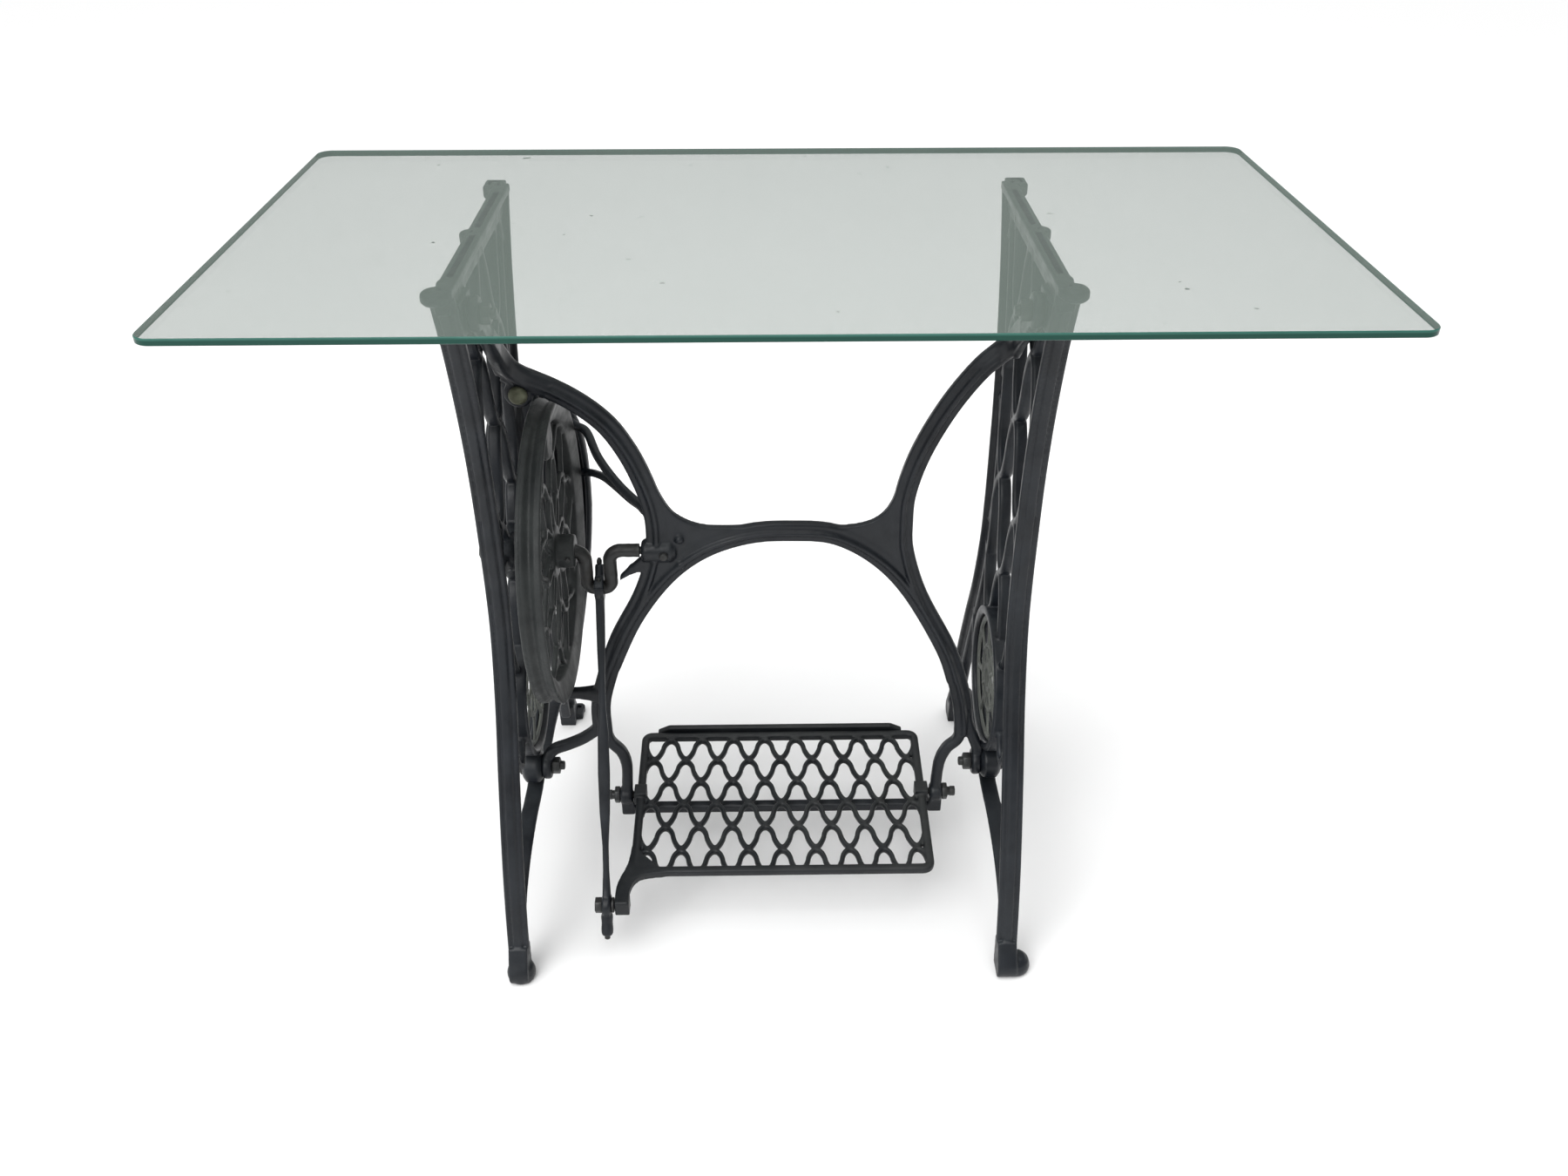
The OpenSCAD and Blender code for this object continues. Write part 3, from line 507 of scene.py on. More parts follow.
def side_frame(name, x, out, body_nodes):
    def at(path, dx=0.0):
        return np.array([(x + dx, FRAME_Y + u, v) for u, v in path])

    def uvw(u, v, w):
        return (x + w, FRAME_Y + u, v)

    solids = []
    near, far = leg_faces()
    for face, sign in ((near, -1), (far, 1)):
        path = np.column_stack([sign * face[:, 0], face[:, 1]])
        # In the sweep, sideways is normal x direction; the section's depth points inwards.
        section = [(-sign * d, w) for d, w in LEG_SECTION]
        leg, leg_sides = sweep(at(path), section, (1, 0, 0))
        leg[:, 2] = np.minimum(leg[:, 2], FRAME_TOP - 1)
        solids.append((leg, leg_sides))
    for path in lattice_paths(near):
        solids.append(sweep(at(path), BAR_SECTION, (1, 0, 0)))
    # Top bar with its web
    bar_x0, bar_x1 = sorted((x + out * 4, x - out * FLANGE_HALF))
    solids.append(block((bar_x0, FRAME_Y - 152, FRAME_TOP - 8),
                        (bar_x1, FRAME_Y + 152, FRAME_TOP)))
    solids.append(block((x - 6, FRAME_Y - 146, FRAME_TOP - 24),
                        (x + 6, FRAME_Y + 146, FRAME_TOP - 4)))
    up = (0, 0, 1)
    solids.append(disc(12, FRAME_TOP - 12, FRAME_TOP, (x + out * 3, FRAME_Y - 150, 0), up, 3))
    solids.append(disc(9, FRAME_TOP - 12, FRAME_TOP, (x + out * 2, FRAME_Y, 0), up, 2))
    solids.append(block((x + out * 4 - 10, FRAME_Y + 140, FRAME_TOP - 12),
                        (x + out * 4 + 10, FRAME_Y + 164, FRAME_TOP)))
    # Ring of the medallion, flared like a dish, and its ledge
    mid = (x, FRAME_Y, MEDALLION_Z)
    solids.append(ring([(RING_R, -11), (RING_R, 11), (77, 12), (73.5, 11.4), (70.5, 6), (70, -9),
                        (72, -11.4), (77, -12)], mid, (1, 0, 0)))
    solids.append(ring([(76, -3), (76, 3), (64, 3), (64, -3)], mid, (1, 0, 0)))
    # Low arch between the ankles: a web with a flange under it
    arch = spline(ANKLE_ARCH, 4)
    solids.append(sweep(at(arch), [(-7, -4), (-7, 4), (2.5, 4.6), (3.5, 9), (7.5, 9),
                                   (7.5, -9), (3.5, -9), (2.5, -4.6)], (1, 0, 0)))
    solids.append(plate([(-13, 96), (13, 96), (9, 122), (13, 152), (-13, 152), (-9, 122)],
                        (-6, 6), uvw))
    # Bolt bosses, each with a raised seat
    for yz, r in (((LOWER_BOLT[1], LOWER_BOLT[2]), 19), ((UPPER_BOLT[1], UPPER_BOLT[2]), 17)):
        axis_at = (x, yz[0], yz[1])
        solids.append(disc(r, -9, 9, axis_at, edge=2.5))
        solids.append(disc(r - 4, -11, 11, axis_at, edge=1.2))
    # Squared pads where the arms of the brace are bolted on
    solids.append(plate([(-128, 676), (-84, 676), (-84, 708), (-132, 708)],
                        sorted((-out * 4, -out * FLANGE_HALF)), uvw))
    # Feet
    toe = np.vstack([spline([(211, 40), (218, 27), (225, 15), (225, 6), (221, 0)], 4),
                     [(198, 0), (193, 34)]])
    solids.append(plate([(-u, v) for u, v in toe], (-10, 10), uvw))
    solids.append(plate([(u + FAR_SPLAY, v) for u, v in toe], (-10, 10), uvw))
    hoof_x, hoof_y = (x + 1, FRAME_Y - 211) if out < 0 else (x + 11, FRAME_Y - 209)
    solids.append(lathe([(0, 0), (11, 0), (13.6, 2), (14.8, 5.5), (14.8, 10), (13, 15.5), (8.5, 20),
                         (0, 22)], (hoof_x, hoof_y, 0), up))
    if out < 0:
        bearing = (x, WHEEL[1], WHEEL[2])
        solids.append(disc(20, -14, 11, bearing, edge=3))
        solids.append(disc(14, -14, 11, bearing, edge=1))
        solids.append(block((x - 6, FRAME_Y - 78, WHEEL[2] - 7),
                            (x + 6, FRAME_Y + 78, WHEEL[2] + 7)))
        lug_y = corners("side_frame_left")[1][1] - 8
        solids.append(ring([(3.4, 0), (8, 0), (8, 8), (3.4, 8)], (x + 11, lug_y, 0), up, 40))
        solids.append(block((x + 3, FRAME_Y + 225, 0), (x + 18, lug_y - 5, 8)))
    casting(name, solids, "stand", IRON, body_nodes, 1.3, 3)


side_frame("left_frame_casting", LEFT_X, -1, ["side_frame_left"])
side_frame("right_frame_casting", RIGHT_X, 1, ["side_frame_right"])


def badge(name, x, out, node):
    """Pierced badge: a dished plate with a plain rosette of holes and raised rims."""
    petals = 8
    solids = []
    mid = (x, FRAME_Y, MEDALLION_Z)
    axis = (1, 0, 0)
    for section in ([(69, -1), (69, 1.4), (67.5, 2.2), (64.5, 2.2), (63, 1), (63, -1)],
                    [(38, -1), (38, 1), (37, 1.6), (34.5, 1.6), (33.5, 1), (33.5, -1)],
                    [(17, -1), (17, 1.4), (15.5, 2.2), (11.5, 2.2), (10, 1.4), (10, -1)]):
        solids.append(ring(section, mid, axis))
    for k in range(petals):
        a = math.radians((k + 0.5) * 360 / petals)
        for r0, r1, w in ((36, 65, 5.5), (15, 36, 4)):
            turn = a if r0 > 20 else a + math.pi / petals
            c, s = math.cos(turn), math.sin(turn)
            path = [(x, FRAME_Y + r * c, MEDALLION_Z + r * s) for r in np.linspace(r0, r1, 9)]
            grow = [1 + 0.55 * abs(2 * t - 1) ** 2 for t in np.linspace(0, 1, 9)]
            solids.append(sweep(path, [(-w / 2, -1), (w / 2, -1), (w / 2, 0.8), (0, 1.6),
                                       (-w / 2, 0.8)], axis, scale=grow))
    if out > 0:
        solids = [(np.column_stack([2 * x - v[:, 0], v[:, 1], v[:, 2]]), f) for v, f in solids]
    casting(name, solids, "stand", GREY_IRON, [node], 0.8, 2)


badge("left_badge", centre("badge_left")[0], -1, "badge_left")
badge("right_badge", centre("badge_right")[0], 1, "badge_right")

# ---- Cross brace ----

LEFT_ARM = [(-262, 606), (-222, 588), (-194, 571), (-170, 549), (-152, 520), (-139, 488),
            (-131, 458), (-129, 430), (-132, 398), (-147, 354), (-174, 301), (-193, 245),
            (-200, 212), (-200, 178)]
RIGHT_ARM = [(211, 630), (184, 606), (156, 567), (132, 519), (119, 475), (117, 440),
             (120, 405), (137, 352), (172, 282), (190, 226), (196, 190), (197, 172)]
ARCH = [(-186, 266), (-159, 327), (-123, 379), (-84, 411), (-38, 428), (8, 431),
        (52, 426), (95, 400), (131, 358), (169, 288), (184, 245)]
LIMBS = [
    [(-201, 205), (-206, 184), (-222, 170), (-240, 161), (-256, 154), (-265, 141)],
    [(197, 205), (202, 184), (208, 166), (213, 152), (214, 141)],
    [(-199, 200), (-194, 168), (-182, 151), (-177, 132), (-178, 105), (-179, 87)],
    [(196, 200), (192, 166), (180, 151), (173, 132), (171, 105), (171, 87)],
]
GUARD_BOLT = (-250, 583)
# Flat casting with softened edges, and the raised rib along its middle.
ARM_SECTION = [(-10.5, -3.2), (-9.3, -5), (9.3, -5), (10.5, -3.2), (10.5, 3.2), (9.3, 5),
               (-9.3, 5), (-10.5, 3.2)]
RIB_SECTION = [(-3.6, -4), (-1.6, -9), (1.6, -9), (3.6, -4), (3.6, 4), (1.6, 9), (-1.6, 9),
               (-3.6, 4)]
# Round-backed corners where the arms turn forward along the side frames.
ELBOWS = {-1: [(-222, -20, 588), (-240, -21, 597), (-256, -27, 612), (-263, -42, 636),
               (-264, -66, 660)],
          1: [(184, -20, 606), (200, -21, 620), (210, -29, 636), (213, -46, 654), (213, -66, 664)]}
ELBOW_SECTION = [(-7, -6), (-3.5, -9.5), (3.5, -9.5), (7, -6), (7, 6), (3.5, 9.5), (-3.5, 9.5),
                 (-7, 6)]
LIMB_SECTION = [(-6, -4), (-3.4, -6), (3.4, -6), (6, -4), (6, 4), (3.4, 6), (-3.4, 6), (-6, 4)]


def cross_brace():
    def at(path):
        return np.array([(u, DRIVE_Y, v) for u, v in path])

    def uvw(u, v, w):
        return (u, DRIVE_Y - w, v)

    up_y = (0, 1, 0)
    solids = []
    for arm in (LEFT_ARM, RIGHT_ARM, ARCH):
        path = at(spline(arm, 5))
        solids.append(sweep(path, ARM_SECTION, up_y))
        solids.append(sweep(path, RIB_SECTION, up_y))
    for limb in LIMBS:
        solids.append(sweep(at(spline(limb, 5)), LIMB_SECTION, up_y))
    # Plain webs in the corners
    for edge, rest in (([(-130, 492), (-122, 472), (-113, 456), (-101, 446), (-84, 439), (-62, 437),
                         (-40, 437.5)],
                        [(-38, 428), (-84, 411), (-123, 379), (-132, 405), (-131, 458)]),
                       ([(32, 439), (55, 436.5), (74, 438.5), (88, 443.5), (98, 452), (105, 464),
                         (110, 480), (117, 503)],
                        [(124, 500), (117, 440), (120, 405), (112, 383), (95, 398), (32, 428)])):
        solids.append(plate(np.vstack([spline(edge, 4), rest]), (-4.2, 4.2), uvw))
    # Guide arm under the flywheel, thicker towards its root
    solids.append(sweep(at([(-258, 231.5), (-240, 231.5), (-222, 231.5), (-208, 231), (-196, 229)]),
                        [(-5.5, -3.5), (-4, -5), (4, -5), (5.5, -3.5), (5.5, 3.5), (4, 5),
                         (-4, 5), (-5.5, 3.5)], up_y, scale=[1, 1, 1.05, 1.35, 2.0]))
    solids.append(disc(9, -5, 5, (-258, DRIVE_Y, 231), up_y, 2))
    solids.append(disc(14, -5, 5, (GUARD_BOLT[0], DRIVE_Y, GUARD_BOLT[1]), up_y, 2))
    # Arms that run forward along the side frames to the upper bolts
    for side, start in ((-1, (608, 632)), (1, (622, 642))):
        x = INNER_LEFT + BRACE_T / 2 if side < 0 else INNER_RIGHT - BRACE_T / 2
        path = spline([(DRIVE_Y + 4, start[0]), (DRIVE_Y - 18, start[1]), (DRIVE_Y - 50, 666),
                       (UPPER_BOLT[1], UPPER_BOLT[2])], 6)
        solids.append(sweep([(x, u, v) for u, v in path], ARM_SECTION, (1, 0, 0)))
        solids.append(sweep([(x, u, v) for u, v in path],
                            [(-3, -6.5), (3, -6.5), (3, 6.5), (-3, 6.5)], (1, 0, 0)))
        solids.append(disc(16, -5, 5, (x, UPPER_BOLT[1], UPPER_BOLT[2]), edge=2))
        solids.append(sweep(spline(ELBOWS[side], 6), ELBOW_SECTION, (0, 0, 1)))
        solids.append(disc(15, x - BRACE_T / 2, x + BRACE_T / 2, (0, LOWER_BOLT[1], LOWER_BOLT[2]),
                           edge=2))
    # Split bearing boss of the crank with its clamp screw lugs
    solids.append(disc(12, -145, -112, (0, WHEEL[1], WHEEL[2]), edge=3))
    solids.append(disc(9, -114, -110, (0, WHEEL[1], WHEEL[2]), edge=1))
    for dz in (-15, 15):
        solids.append(lathe([(0, 0), (4.5, 0), (4.2, 3), (2.6, 5), (0, 5.6)],
                            (-106, DRIVE_Y - 4, WHEEL[2] + dz), (0, -1, 0), 24))
    # Gusset that runs out beside the crank
    solids.append(plate([(-132, 404), (-131, 390), (-146, 387), (-158, 382.5), (-168.5, 376),
                         (-168.5, 379.5), (-158, 391), (-147, 401)], (-4.6, 4.6), uvw))
    # Pivot bosses and the bar under the treadle
    for x0, x1, bx in ((-187, -173, -179), (164, 178, 171)):
        solids.append(disc(11, x0, x1, (0, TREADLE[1], TREADLE[2]), edge=2.5))
        solids.append(block((bx - 7, DRIVE_Y - 7, 62), (bx + 7, DRIVE_Y + 7, 84)))
    solids.append(sweep([(x, DRIVE_Y, 67.5) for x in np.linspace(-182, 174, 40)],
                        [(-6, -3.5), (-4, -5.5), (4, -5.5), (6, -3.5), (6, 3.5), (4, 5.5),
                         (-4, 5.5), (-6, 3.5)], (0, 0, 1)))
    casting("cross_brace_casting", solids, "stand", BRACE_IRON, ["cross_brace"],
            1.4, 5)


cross_brace()

# ---- Fasteners of the stand ----

STAND = ("stand", "dark_steel", STEEL)


def head(x0, x1, yz, r, dome):
    """A round bolt head from x0 to x1 whose face bulges by dome."""
    sign = 1 if x1 > x0 else -1
    return lathe([(0, 0), (r, 0), (r, abs(x1 - x0) * 0.45), (r * 0.82, abs(x1 - x0) * 0.8),
                  (r * 0.5, abs(x1 - x0) - dome), (0, abs(x1 - x0))], (x0, yz[0], yz[1]),
                 (sign, 0, 0), 40)


def stand_bolts():
    for tag, yz in (("upper", UPPER_BOLT[1:]), ("lower", LOWER_BOLT[1:])):
        solids, nuts = [], []
        for side, frame_x in ((-1, LEFT_X), (1, RIGHT_X)):
            outer = frame_x + side * FLANGE_HALF
            lo, hi = sorted((outer, frame_x - side * 35))
            solids.append(disc(5, lo, hi, (0, yz[0], yz[1]), edge=1, n=32))
            solids.append(head(outer, outer + side * BOLT_HEAD, yz, 10, 0.4))
            seat = frame_x - side * (FLANGE_HALF + BRACE_T)
            nuts.append(hexagon(*sorted((seat, seat - side * 9)), yz, 17))
        machined(f"{tag}_brace_bolts", solids, *STAND, [f"brace_{tag}_bolts"], 0.3)
        machined(f"{tag}_brace_nuts", nuts, *STAND, [f"brace_{tag}_nuts"], 1.1)


def pivot_screw(x0, x1, tip, yz, r, tip_r):
    """Hexagon-head screw with a turned tip."""
    sign = 1 if x1 > x0 else -1
    length = abs(x1 - x0)
    body = lathe([(0, 0), (r, 0), (r, length - 0.5), (tip_r, length), (tip_r, length + tip - 0.6),
                  (tip_r - 0.8, length + tip), (0, length + tip)], (x0, yz[0], yz[1]),
                 (sign, 0, 0), 40)
    lo, hi = sorted((x0 - sign * 6, x0))
    return [body, hexagon(lo, hi, yz, 2 * r)]


def bearing_screws():
    """Screws that carry the flywheel, the crank and the treadle, with their locking pieces."""
    wheel_yz, treadle_yz = WHEEL[1:], TREADLE[1:]
    hex_head = 6
    start = corners("wheel_bearing_screw")[0][0] + hex_head
    machined("wheel_bearing", pivot_screw(start, INNER_LEFT + 2, 10, wheel_yz, 6, 4), *STAND,
             ["wheel_bearing_screw"], 0.7)
    crank_screw = lathe([(0, 0), (5.2, 0), (6, 0.8), (6, 30.5), (4, 31), (4, 40.4), (3.2, 41),
                         (0, 41)], (corners("crank_pivot_screw")[1][0], *wheel_yz), (-1, 0, 0), 40)
    machined("crank_bearing", [crank_screw], *STAND, ["crank_pivot_screw"], 0.3)
    lo, hi = corners("crank_set_screw")
    set_screw = lathe([(0, 0), (2.5, 0), (2.5, 6), (4.5, 6), (4.5, 8), (3.6, 9.8), (0, 10)],
                      ((lo[0] + hi[0]) / 2, hi[1], (lo[2] + hi[2]) / 2), (0, -1, 0), 32)
    machined("crank_set_bolt", [set_screw], *STAND, ["crank_set_screw"], 0.2)
    lo, hi = corners("wheel_bearing_locknut")
    machined("wheel_bearing_locknut_hex", [hexagon(lo[0], hi[0], wheel_yz, 19)], *STAND,
             ["wheel_bearing_locknut"], 1.2)
    lo, hi = corners("treadle_pivot_screws")
    machined("treadle_pivots",
             pivot_screw(lo[0] + hex_head, lo[0] + 30, 8, treadle_yz, 5, 3.5)
             + pivot_screw(hi[0] - hex_head, hi[0] - 30, 8, treadle_yz, 5, 3.5),
             *STAND, ["treadle_pivot_screws"], 0.6)
    lo, hi = corners("treadle_pivot_locknuts")
    machined("treadle_locknuts", [hexagon(lo[0], lo[0] + 6, treadle_yz, 17),
                                  hexagon(hi[0] - 6, hi[0], treadle_yz, 17)],
             *STAND, ["treadle_pivot_locknuts"], 1.0)


stand_bolts()
bearing_screws()

# ---- Dress guard, stays and hook ----

GUARD_Y = corners("dress_guard")[1][1] - 2
GUARD_FRONT = GUARD_Y - 2
GUARD_FACE = [(-264, 205), (-265, 248), (-292, 286), (-316, 330), (-325, 410), (-320, 470),
              (-304, 503), (-274, 516), (-240, 503), (-221, 470), (-216, 400), (-221, 325),
              (-232, 250), (-243, 190), (-250, 160), (-259, 165)]


def dress_guard():
    def uvw(u, v, w):
        return (u, GUARD_Y - w, v)

    outline = spline(GUARD_FACE + GUARD_FACE[:1], 6)[:-1]
    solids = [plate(outline, (-1.6, 1.6), uvw)]
    rim = np.array([uvw(u, v, 0) for u, v in outline])
    inward = rim + (rim.mean(0) - rim) * 0.03
    solids.append(sweep(inward, [(-4, -2), (-3, -6.5), (-1, -7.5), (2.4, -6.5), (3.4, -4), (4, 2),
                                 (-4, 2)], (0, 1, 0), True))
    for k in range(4):
        rib = spline([(u - k * 22, v) for u, v in
                      ((-231, 465), (-227, 400), (-232, 345), (-239, 300))], 5)
        solids.append(sweep([(u, GUARD_Y - 2.5, v) for u, v in rib],
                            [(-3, -1.5), (-1.6, 3), (1.6, 3), (3, -1.5)], (0, -1, 0)))
    casting("dress_guard_sheet", solids, "stand", IRON, ["dress_guard"], 1.3, 3)


def bar(path, r0, r1):
    """A round iron bar whose radius runs from r0 in the middle to r1 at its ends."""
    path = spline(path, 8)
    t = np.linspace(-1, 1, len(path))
    size = r0 + (r1 - r0) * np.abs(t) ** 3
    return sweep(path, circle(24), (0.1, 0.2, 1), scale=size)


def guard_bars():
    """The forked stay and the hook, whose ends butt against the guard and the brace."""
    upper = bar([(-228, GUARD_FRONT, 478), (-228, 136, 478), (-220, 125, 478.5), (-208, 110, 478),
                 (-192, 66, 470), (-168, 28, 458), (-138.5, BRACE_BACK + 7, 448),
                 (-138.5, BRACE_BACK, 448)], 4.7, 5)
    lower = bar([(-219, GUARD_FRONT, 416), (-219, 139, 416), (-212, 130, 420), (-203, 112, 428),
                 (-190, 84, 438), (-176, 56, 443), (-158, 24, 445), (-146, 6, 446),
                 (-140.5, -7, 447.5)], 4.3, 4.5)
    casting("guard_fork", [upper, lower], "stand", IRON, ["guard_stay"], 0.9, 3)
    u, v = GUARD_BOLT
    hook = bar([(u, BRACE_BACK, v), (u, BRACE_BACK + 6, v), (-252, 20, 576), (-257, 80, 552),
                (-262, 118, 514), (-262, 128, 496), (-262, 135, 490), (-262, GUARD_FRONT, 490)],
               5.8, 6)
    casting("guard_hook_bar", [hook], "stand", IRON, ["guard_hook"], 1.0, 3)


def guard_bolts():
    on_brace = (GUARD_BOLT[0], BRACE_FRONT, GUARD_BOLT[1])
    on_guard = (-262, GUARD_Y + 2, 490)
    solids = [lathe([(0, 0), (9, 0), (9, 2.5), (7, 5), (3, 6), (0, 6)], on_brace, (0, -1, 0), 40),
              disc(4, -1, 12, on_brace, (0, 1, 0), 0.5, 32),
              lathe([(0, 0), (8, 0), (8, 2.5), (6, 5), (2.5, 6), (0, 6)], on_guard, (0, 1, 0), 40),
              disc(4, -5, 1, on_guard, (0, 1, 0), 0.5, 32)]
    machined("guard_screws", solids, "stand", "aged_bolts", BOLT_GREEN, ["guard_bolts"], 0.4)


dress_guard()
guard_bars()
guard_bolts()

# ---- Flywheel and crankshaft ----


def flywheel():
    r = (corners("flywheel")[1][2] - corners("flywheel")[0][2]) / 2
    axis = (1, 0, 0)
    solids = [ring([(r - 22, -5), (r - 17, -7), (r - 9, -9.5), (r - 2, -12), (r, -10.6),
                    (r, -8.6), (r - 1.6, -7.2), (r - 0.3, -5.8), (r - 1.4, -4.6), (r - 5, 0),
                    (r - 1.4, 4.6), (r - 0.3, 5.8), (r - 1.6, 7.2), (r, 8.6), (r, 10.6),
                    (r - 2, 12), (r - 9, 9.5), (r - 17, 7), (r - 22, 5)], WHEEL, axis, 160)]
    arms, rows, hub = 8, 3, 24
    row_h = (r - 20 - hub) / rows
    section = [(-2.6, -1.6), (-1.6, -2.8), (1.6, -2.8), (2.6, -1.6), (2.6, 1.6), (1.6, 2.8),
               (-1.6, 2.8), (-2.6, 1.6)]
    for row in range(rows):
        mid = hub + (row + 0.5) * row_h
        for k in range(arms):
            base = (k + (row % 2) * 0.5) * 360 / arms
            for sign in (-1, 1):
                pts = []
                for t in np.linspace(0, 1, 17):
                    a = math.radians(base + sign * t * 180 / arms)
                    d = mid + row_h / 2 * ogee(90 + 180 * t)
                    pts.append((WHEEL[0], WHEEL[1] + d * math.sin(a), WHEEL[2] - d * math.cos(a)))
                solids.append(sweep(pts, section, axis))
            # Small buds where the waves meet
            a = math.radians(base)
            d = mid + row_h / 2
            if row < rows - 1:
                spot = (WHEEL[0], WHEEL[1] + d * math.sin(a), WHEEL[2] - d * math.cos(a))
                solids.append(disc(5, -3.4, 3.4, spot, edge=1.6, n=24))
    solids.append(lathe([(0, -24), (15, -24), (17, -22), (17, 20), (15.5, 22), (0, 22)],
                        WHEEL, axis))
    solids.append(disc(27, -4, 4, WHEEL, edge=2))
    weight = (WHEEL[0], WHEEL[1], WHEEL[2] + r - 29)
    solids.append(disc(20, -7.5, 7.5, weight, edge=3))
    casting("flywheel_casting", solids, "flywheel", WHEEL_IRON, ["flywheel"], 1.3, 3)


def crankshaft():
    """Bent round bar with one throw, its thickness rippling slightly along its length."""
    lo, hi = corners("crankshaft")
    half, bend, low = 24.4, 12, CRANKPIN[2] - WHEEL[2]
    x0 = CRANKPIN[0]
    arm = half - bend
    side = [(half, 0), (half - 4, -0.8), (half - 8.5, -3.5), (arm + 0.9, -7.6), (arm, -12),
            (arm, low + 9), (arm - 0.8, low + 4.6), (arm - 3.6, low + 1.2), (arm - 6.6, low + 0.1),
            (5, low), (2, low)]
    pts = [(x0 - u, v) for u, v in side] + [(x0 + u, v) for u, v in side[::-1]]
    pts = [(lo[0], 0), ((lo[0] + x0 - half) / 2, 0)] + pts + [((x0 + half + hi[0]) / 2, 0),
                                                             (hi[0], 0)]
    path = resampled(spline(pts, 6), 1.5)
    wave = [7 - 0.12 * (1 - math.cos(0.9 * i)) * (0.5 + 0.5 * math.sin(0.23 * i))
            for i in range(len(path))]
    solid = sweep([(u, WHEEL[1], WHEEL[2] + v) for u, v in path], circle(28), (0, 1, 0), scale=wave)
    obj = mesh_object("crank_bar", [solid], "flywheel", STEEL)
    shade_smooth(obj, 60)
    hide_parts("crankshaft")


def taper_pin():
    pin = lathe([(0, -20), (2.2, -20), (2.5, -19), (2.5, 19.4), (1.9, 20), (0, 20)],
                centre("wheel_taper_pin"), (0, 1, 0), 24)
    machined("hub_taper_pin", [pin], "flywheel", "dark_steel", STEEL, ["wheel_taper_pin"], 0.2)


flywheel()
crankshaft()
taper_pin()

# ---- Pitman ----

DROP = np.array([0, PITMAN_PIN[1] - CRANKPIN[1], PITMAN_PIN[2] - CRANKPIN[2]])
PITMAN_LEN = float(np.linalg.norm(DROP))
DOWN = DROP / PITMAN_LEN
ACROSS = np.cross(DOWN, (1, 0, 0))
EYE_R, BORE_R, EYE_HALF = 13, 7.1, 4.7
PITMAN_STEEL = ("pitman", "dark_steel", STEEL)


def pitman_at(d, a=0.0, x=0.0):
    """A point d below the crankpin along the rod, a sideways in its plane, x along X."""
    return CRANKPIN + DOWN * d + ACROSS * a + np.array([x, 0, 0])


def pitman():
    solids = []
    # Forged bar: slim in the upper third, broad in the middle, slim again above the pin
    d = np.linspace(8, PITMAN_LEN - 4, 100)
    knots = [8, 40, 66, 90, 124, 152, 195, 236, 272, 298, 316, PITMAN_LEN - 4]
    wide_x = np.interp(d, knots, [4.6, 4.5, 4.2, 3.5, 3.5, 5.6, 6.3, 5.4, 3.2, 3.2, 4.0, 4.5])
    wide_a = np.interp(d, knots, [8.0, 4.6, 4.4, 3.5, 3.5, 3.9, 3.8, 3.8, 4.2, 4.4, 5.0, 8.0])
    shape = np.array([(math.copysign(abs(math.cos(t)) ** 0.55, math.cos(t)),
                       math.copysign(abs(math.sin(t)) ** 0.55, math.sin(t)))
                      for t in np.linspace(0, 2 * math.pi, 24, endpoint=False)])
    verts = [pitman_at(down, q[1] * a, q[0] * x)
             for down, a, x in zip(d, wide_a, wide_x) for q in shape]
    solids.append((np.array(verts), tube_faces(len(shape), len(d))))
    solids.append(ring([(BORE_R, -EYE_HALF), (EYE_R, -EYE_HALF), (EYE_R, EYE_HALF),
                        (BORE_R, EYE_HALF)], CRANKPIN, (1, 0, 0), 64))
    solids.append(disc(12, -EYE_HALF, EYE_HALF, pitman_at(PITMAN_LEN), edge=2))
    solids.append(lathe([(0, 9), (6.0, 9.4), (6.4, 13), (5.9, 19), (6.4, 26), (6.1, 30.5),
                         (4.8, 32.8), (0, 33)], pitman_at(PITMAN_LEN), DOWN, 40))
    # Keep only what lies below the split through the crankpin
    obj = casting("pitman_forging", solids, "pitman", IRON, ["pitman_rod"], 0.9, 3)
    bm = bmesh.new()
    bm.from_mesh(obj.data)
    cut = bmesh.ops.bisect_plane(bm, geom=bm.verts[:] + bm.edges[:] + bm.faces[:],
                                 plane_co=pitman_at(0.15) * MM, plane_no=-DOWN, clear_outer=True)
    edges = [e for e in cut["geom_cut"] if isinstance(e, bmesh.types.BMEdge)]
    bmesh.ops.holes_fill(bm, edges=edges)
    bm.to_mesh(obj.data)
    bm.free()


def pitman_cap():
    up = -DOWN
    arc = np.linspace(0, math.pi, 33)
    section = [(BORE_R, -EYE_HALF), (EYE_R - 1, -EYE_HALF), (EYE_R, 1 - EYE_HALF),
               (EYE_R, EYE_HALF - 1), (EYE_R - 1, EYE_HALF), (BORE_R, EYE_HALF)]
    verts = [CRANKPIN + r * (math.cos(t) * ACROSS + math.sin(t) * up) + np.array([x, 0, 0])
             for t in arc for r, x in section]
    bow = np.array(verts), tube_faces(len(section), len(arc))
    neck = lathe([(0, 9), (4.9, 9), (4.6, 12), (4.6, 22), (3.8, 24), (0, 24)], CRANKPIN, up, 32)
    casting("pitman_cap_casting", [bow, neck], "pitman", IRON, ["pitman_cap"], 0.7, 2)
    screws = []
    for s in (-1, 1):
        p = CRANKPIN + ACROSS * 10 * s
        screws.append(lathe([(0, -10), (1.5, -10), (1.5, 8.5), (2.6, 9), (2.6, 10.2), (1.6, 11),
                             (0, 11)], p, up, 24))
    machined("pitman_cap_bolts", screws, *PITMAN_STEEL, ["pitman_cap_screws"], 0.15)


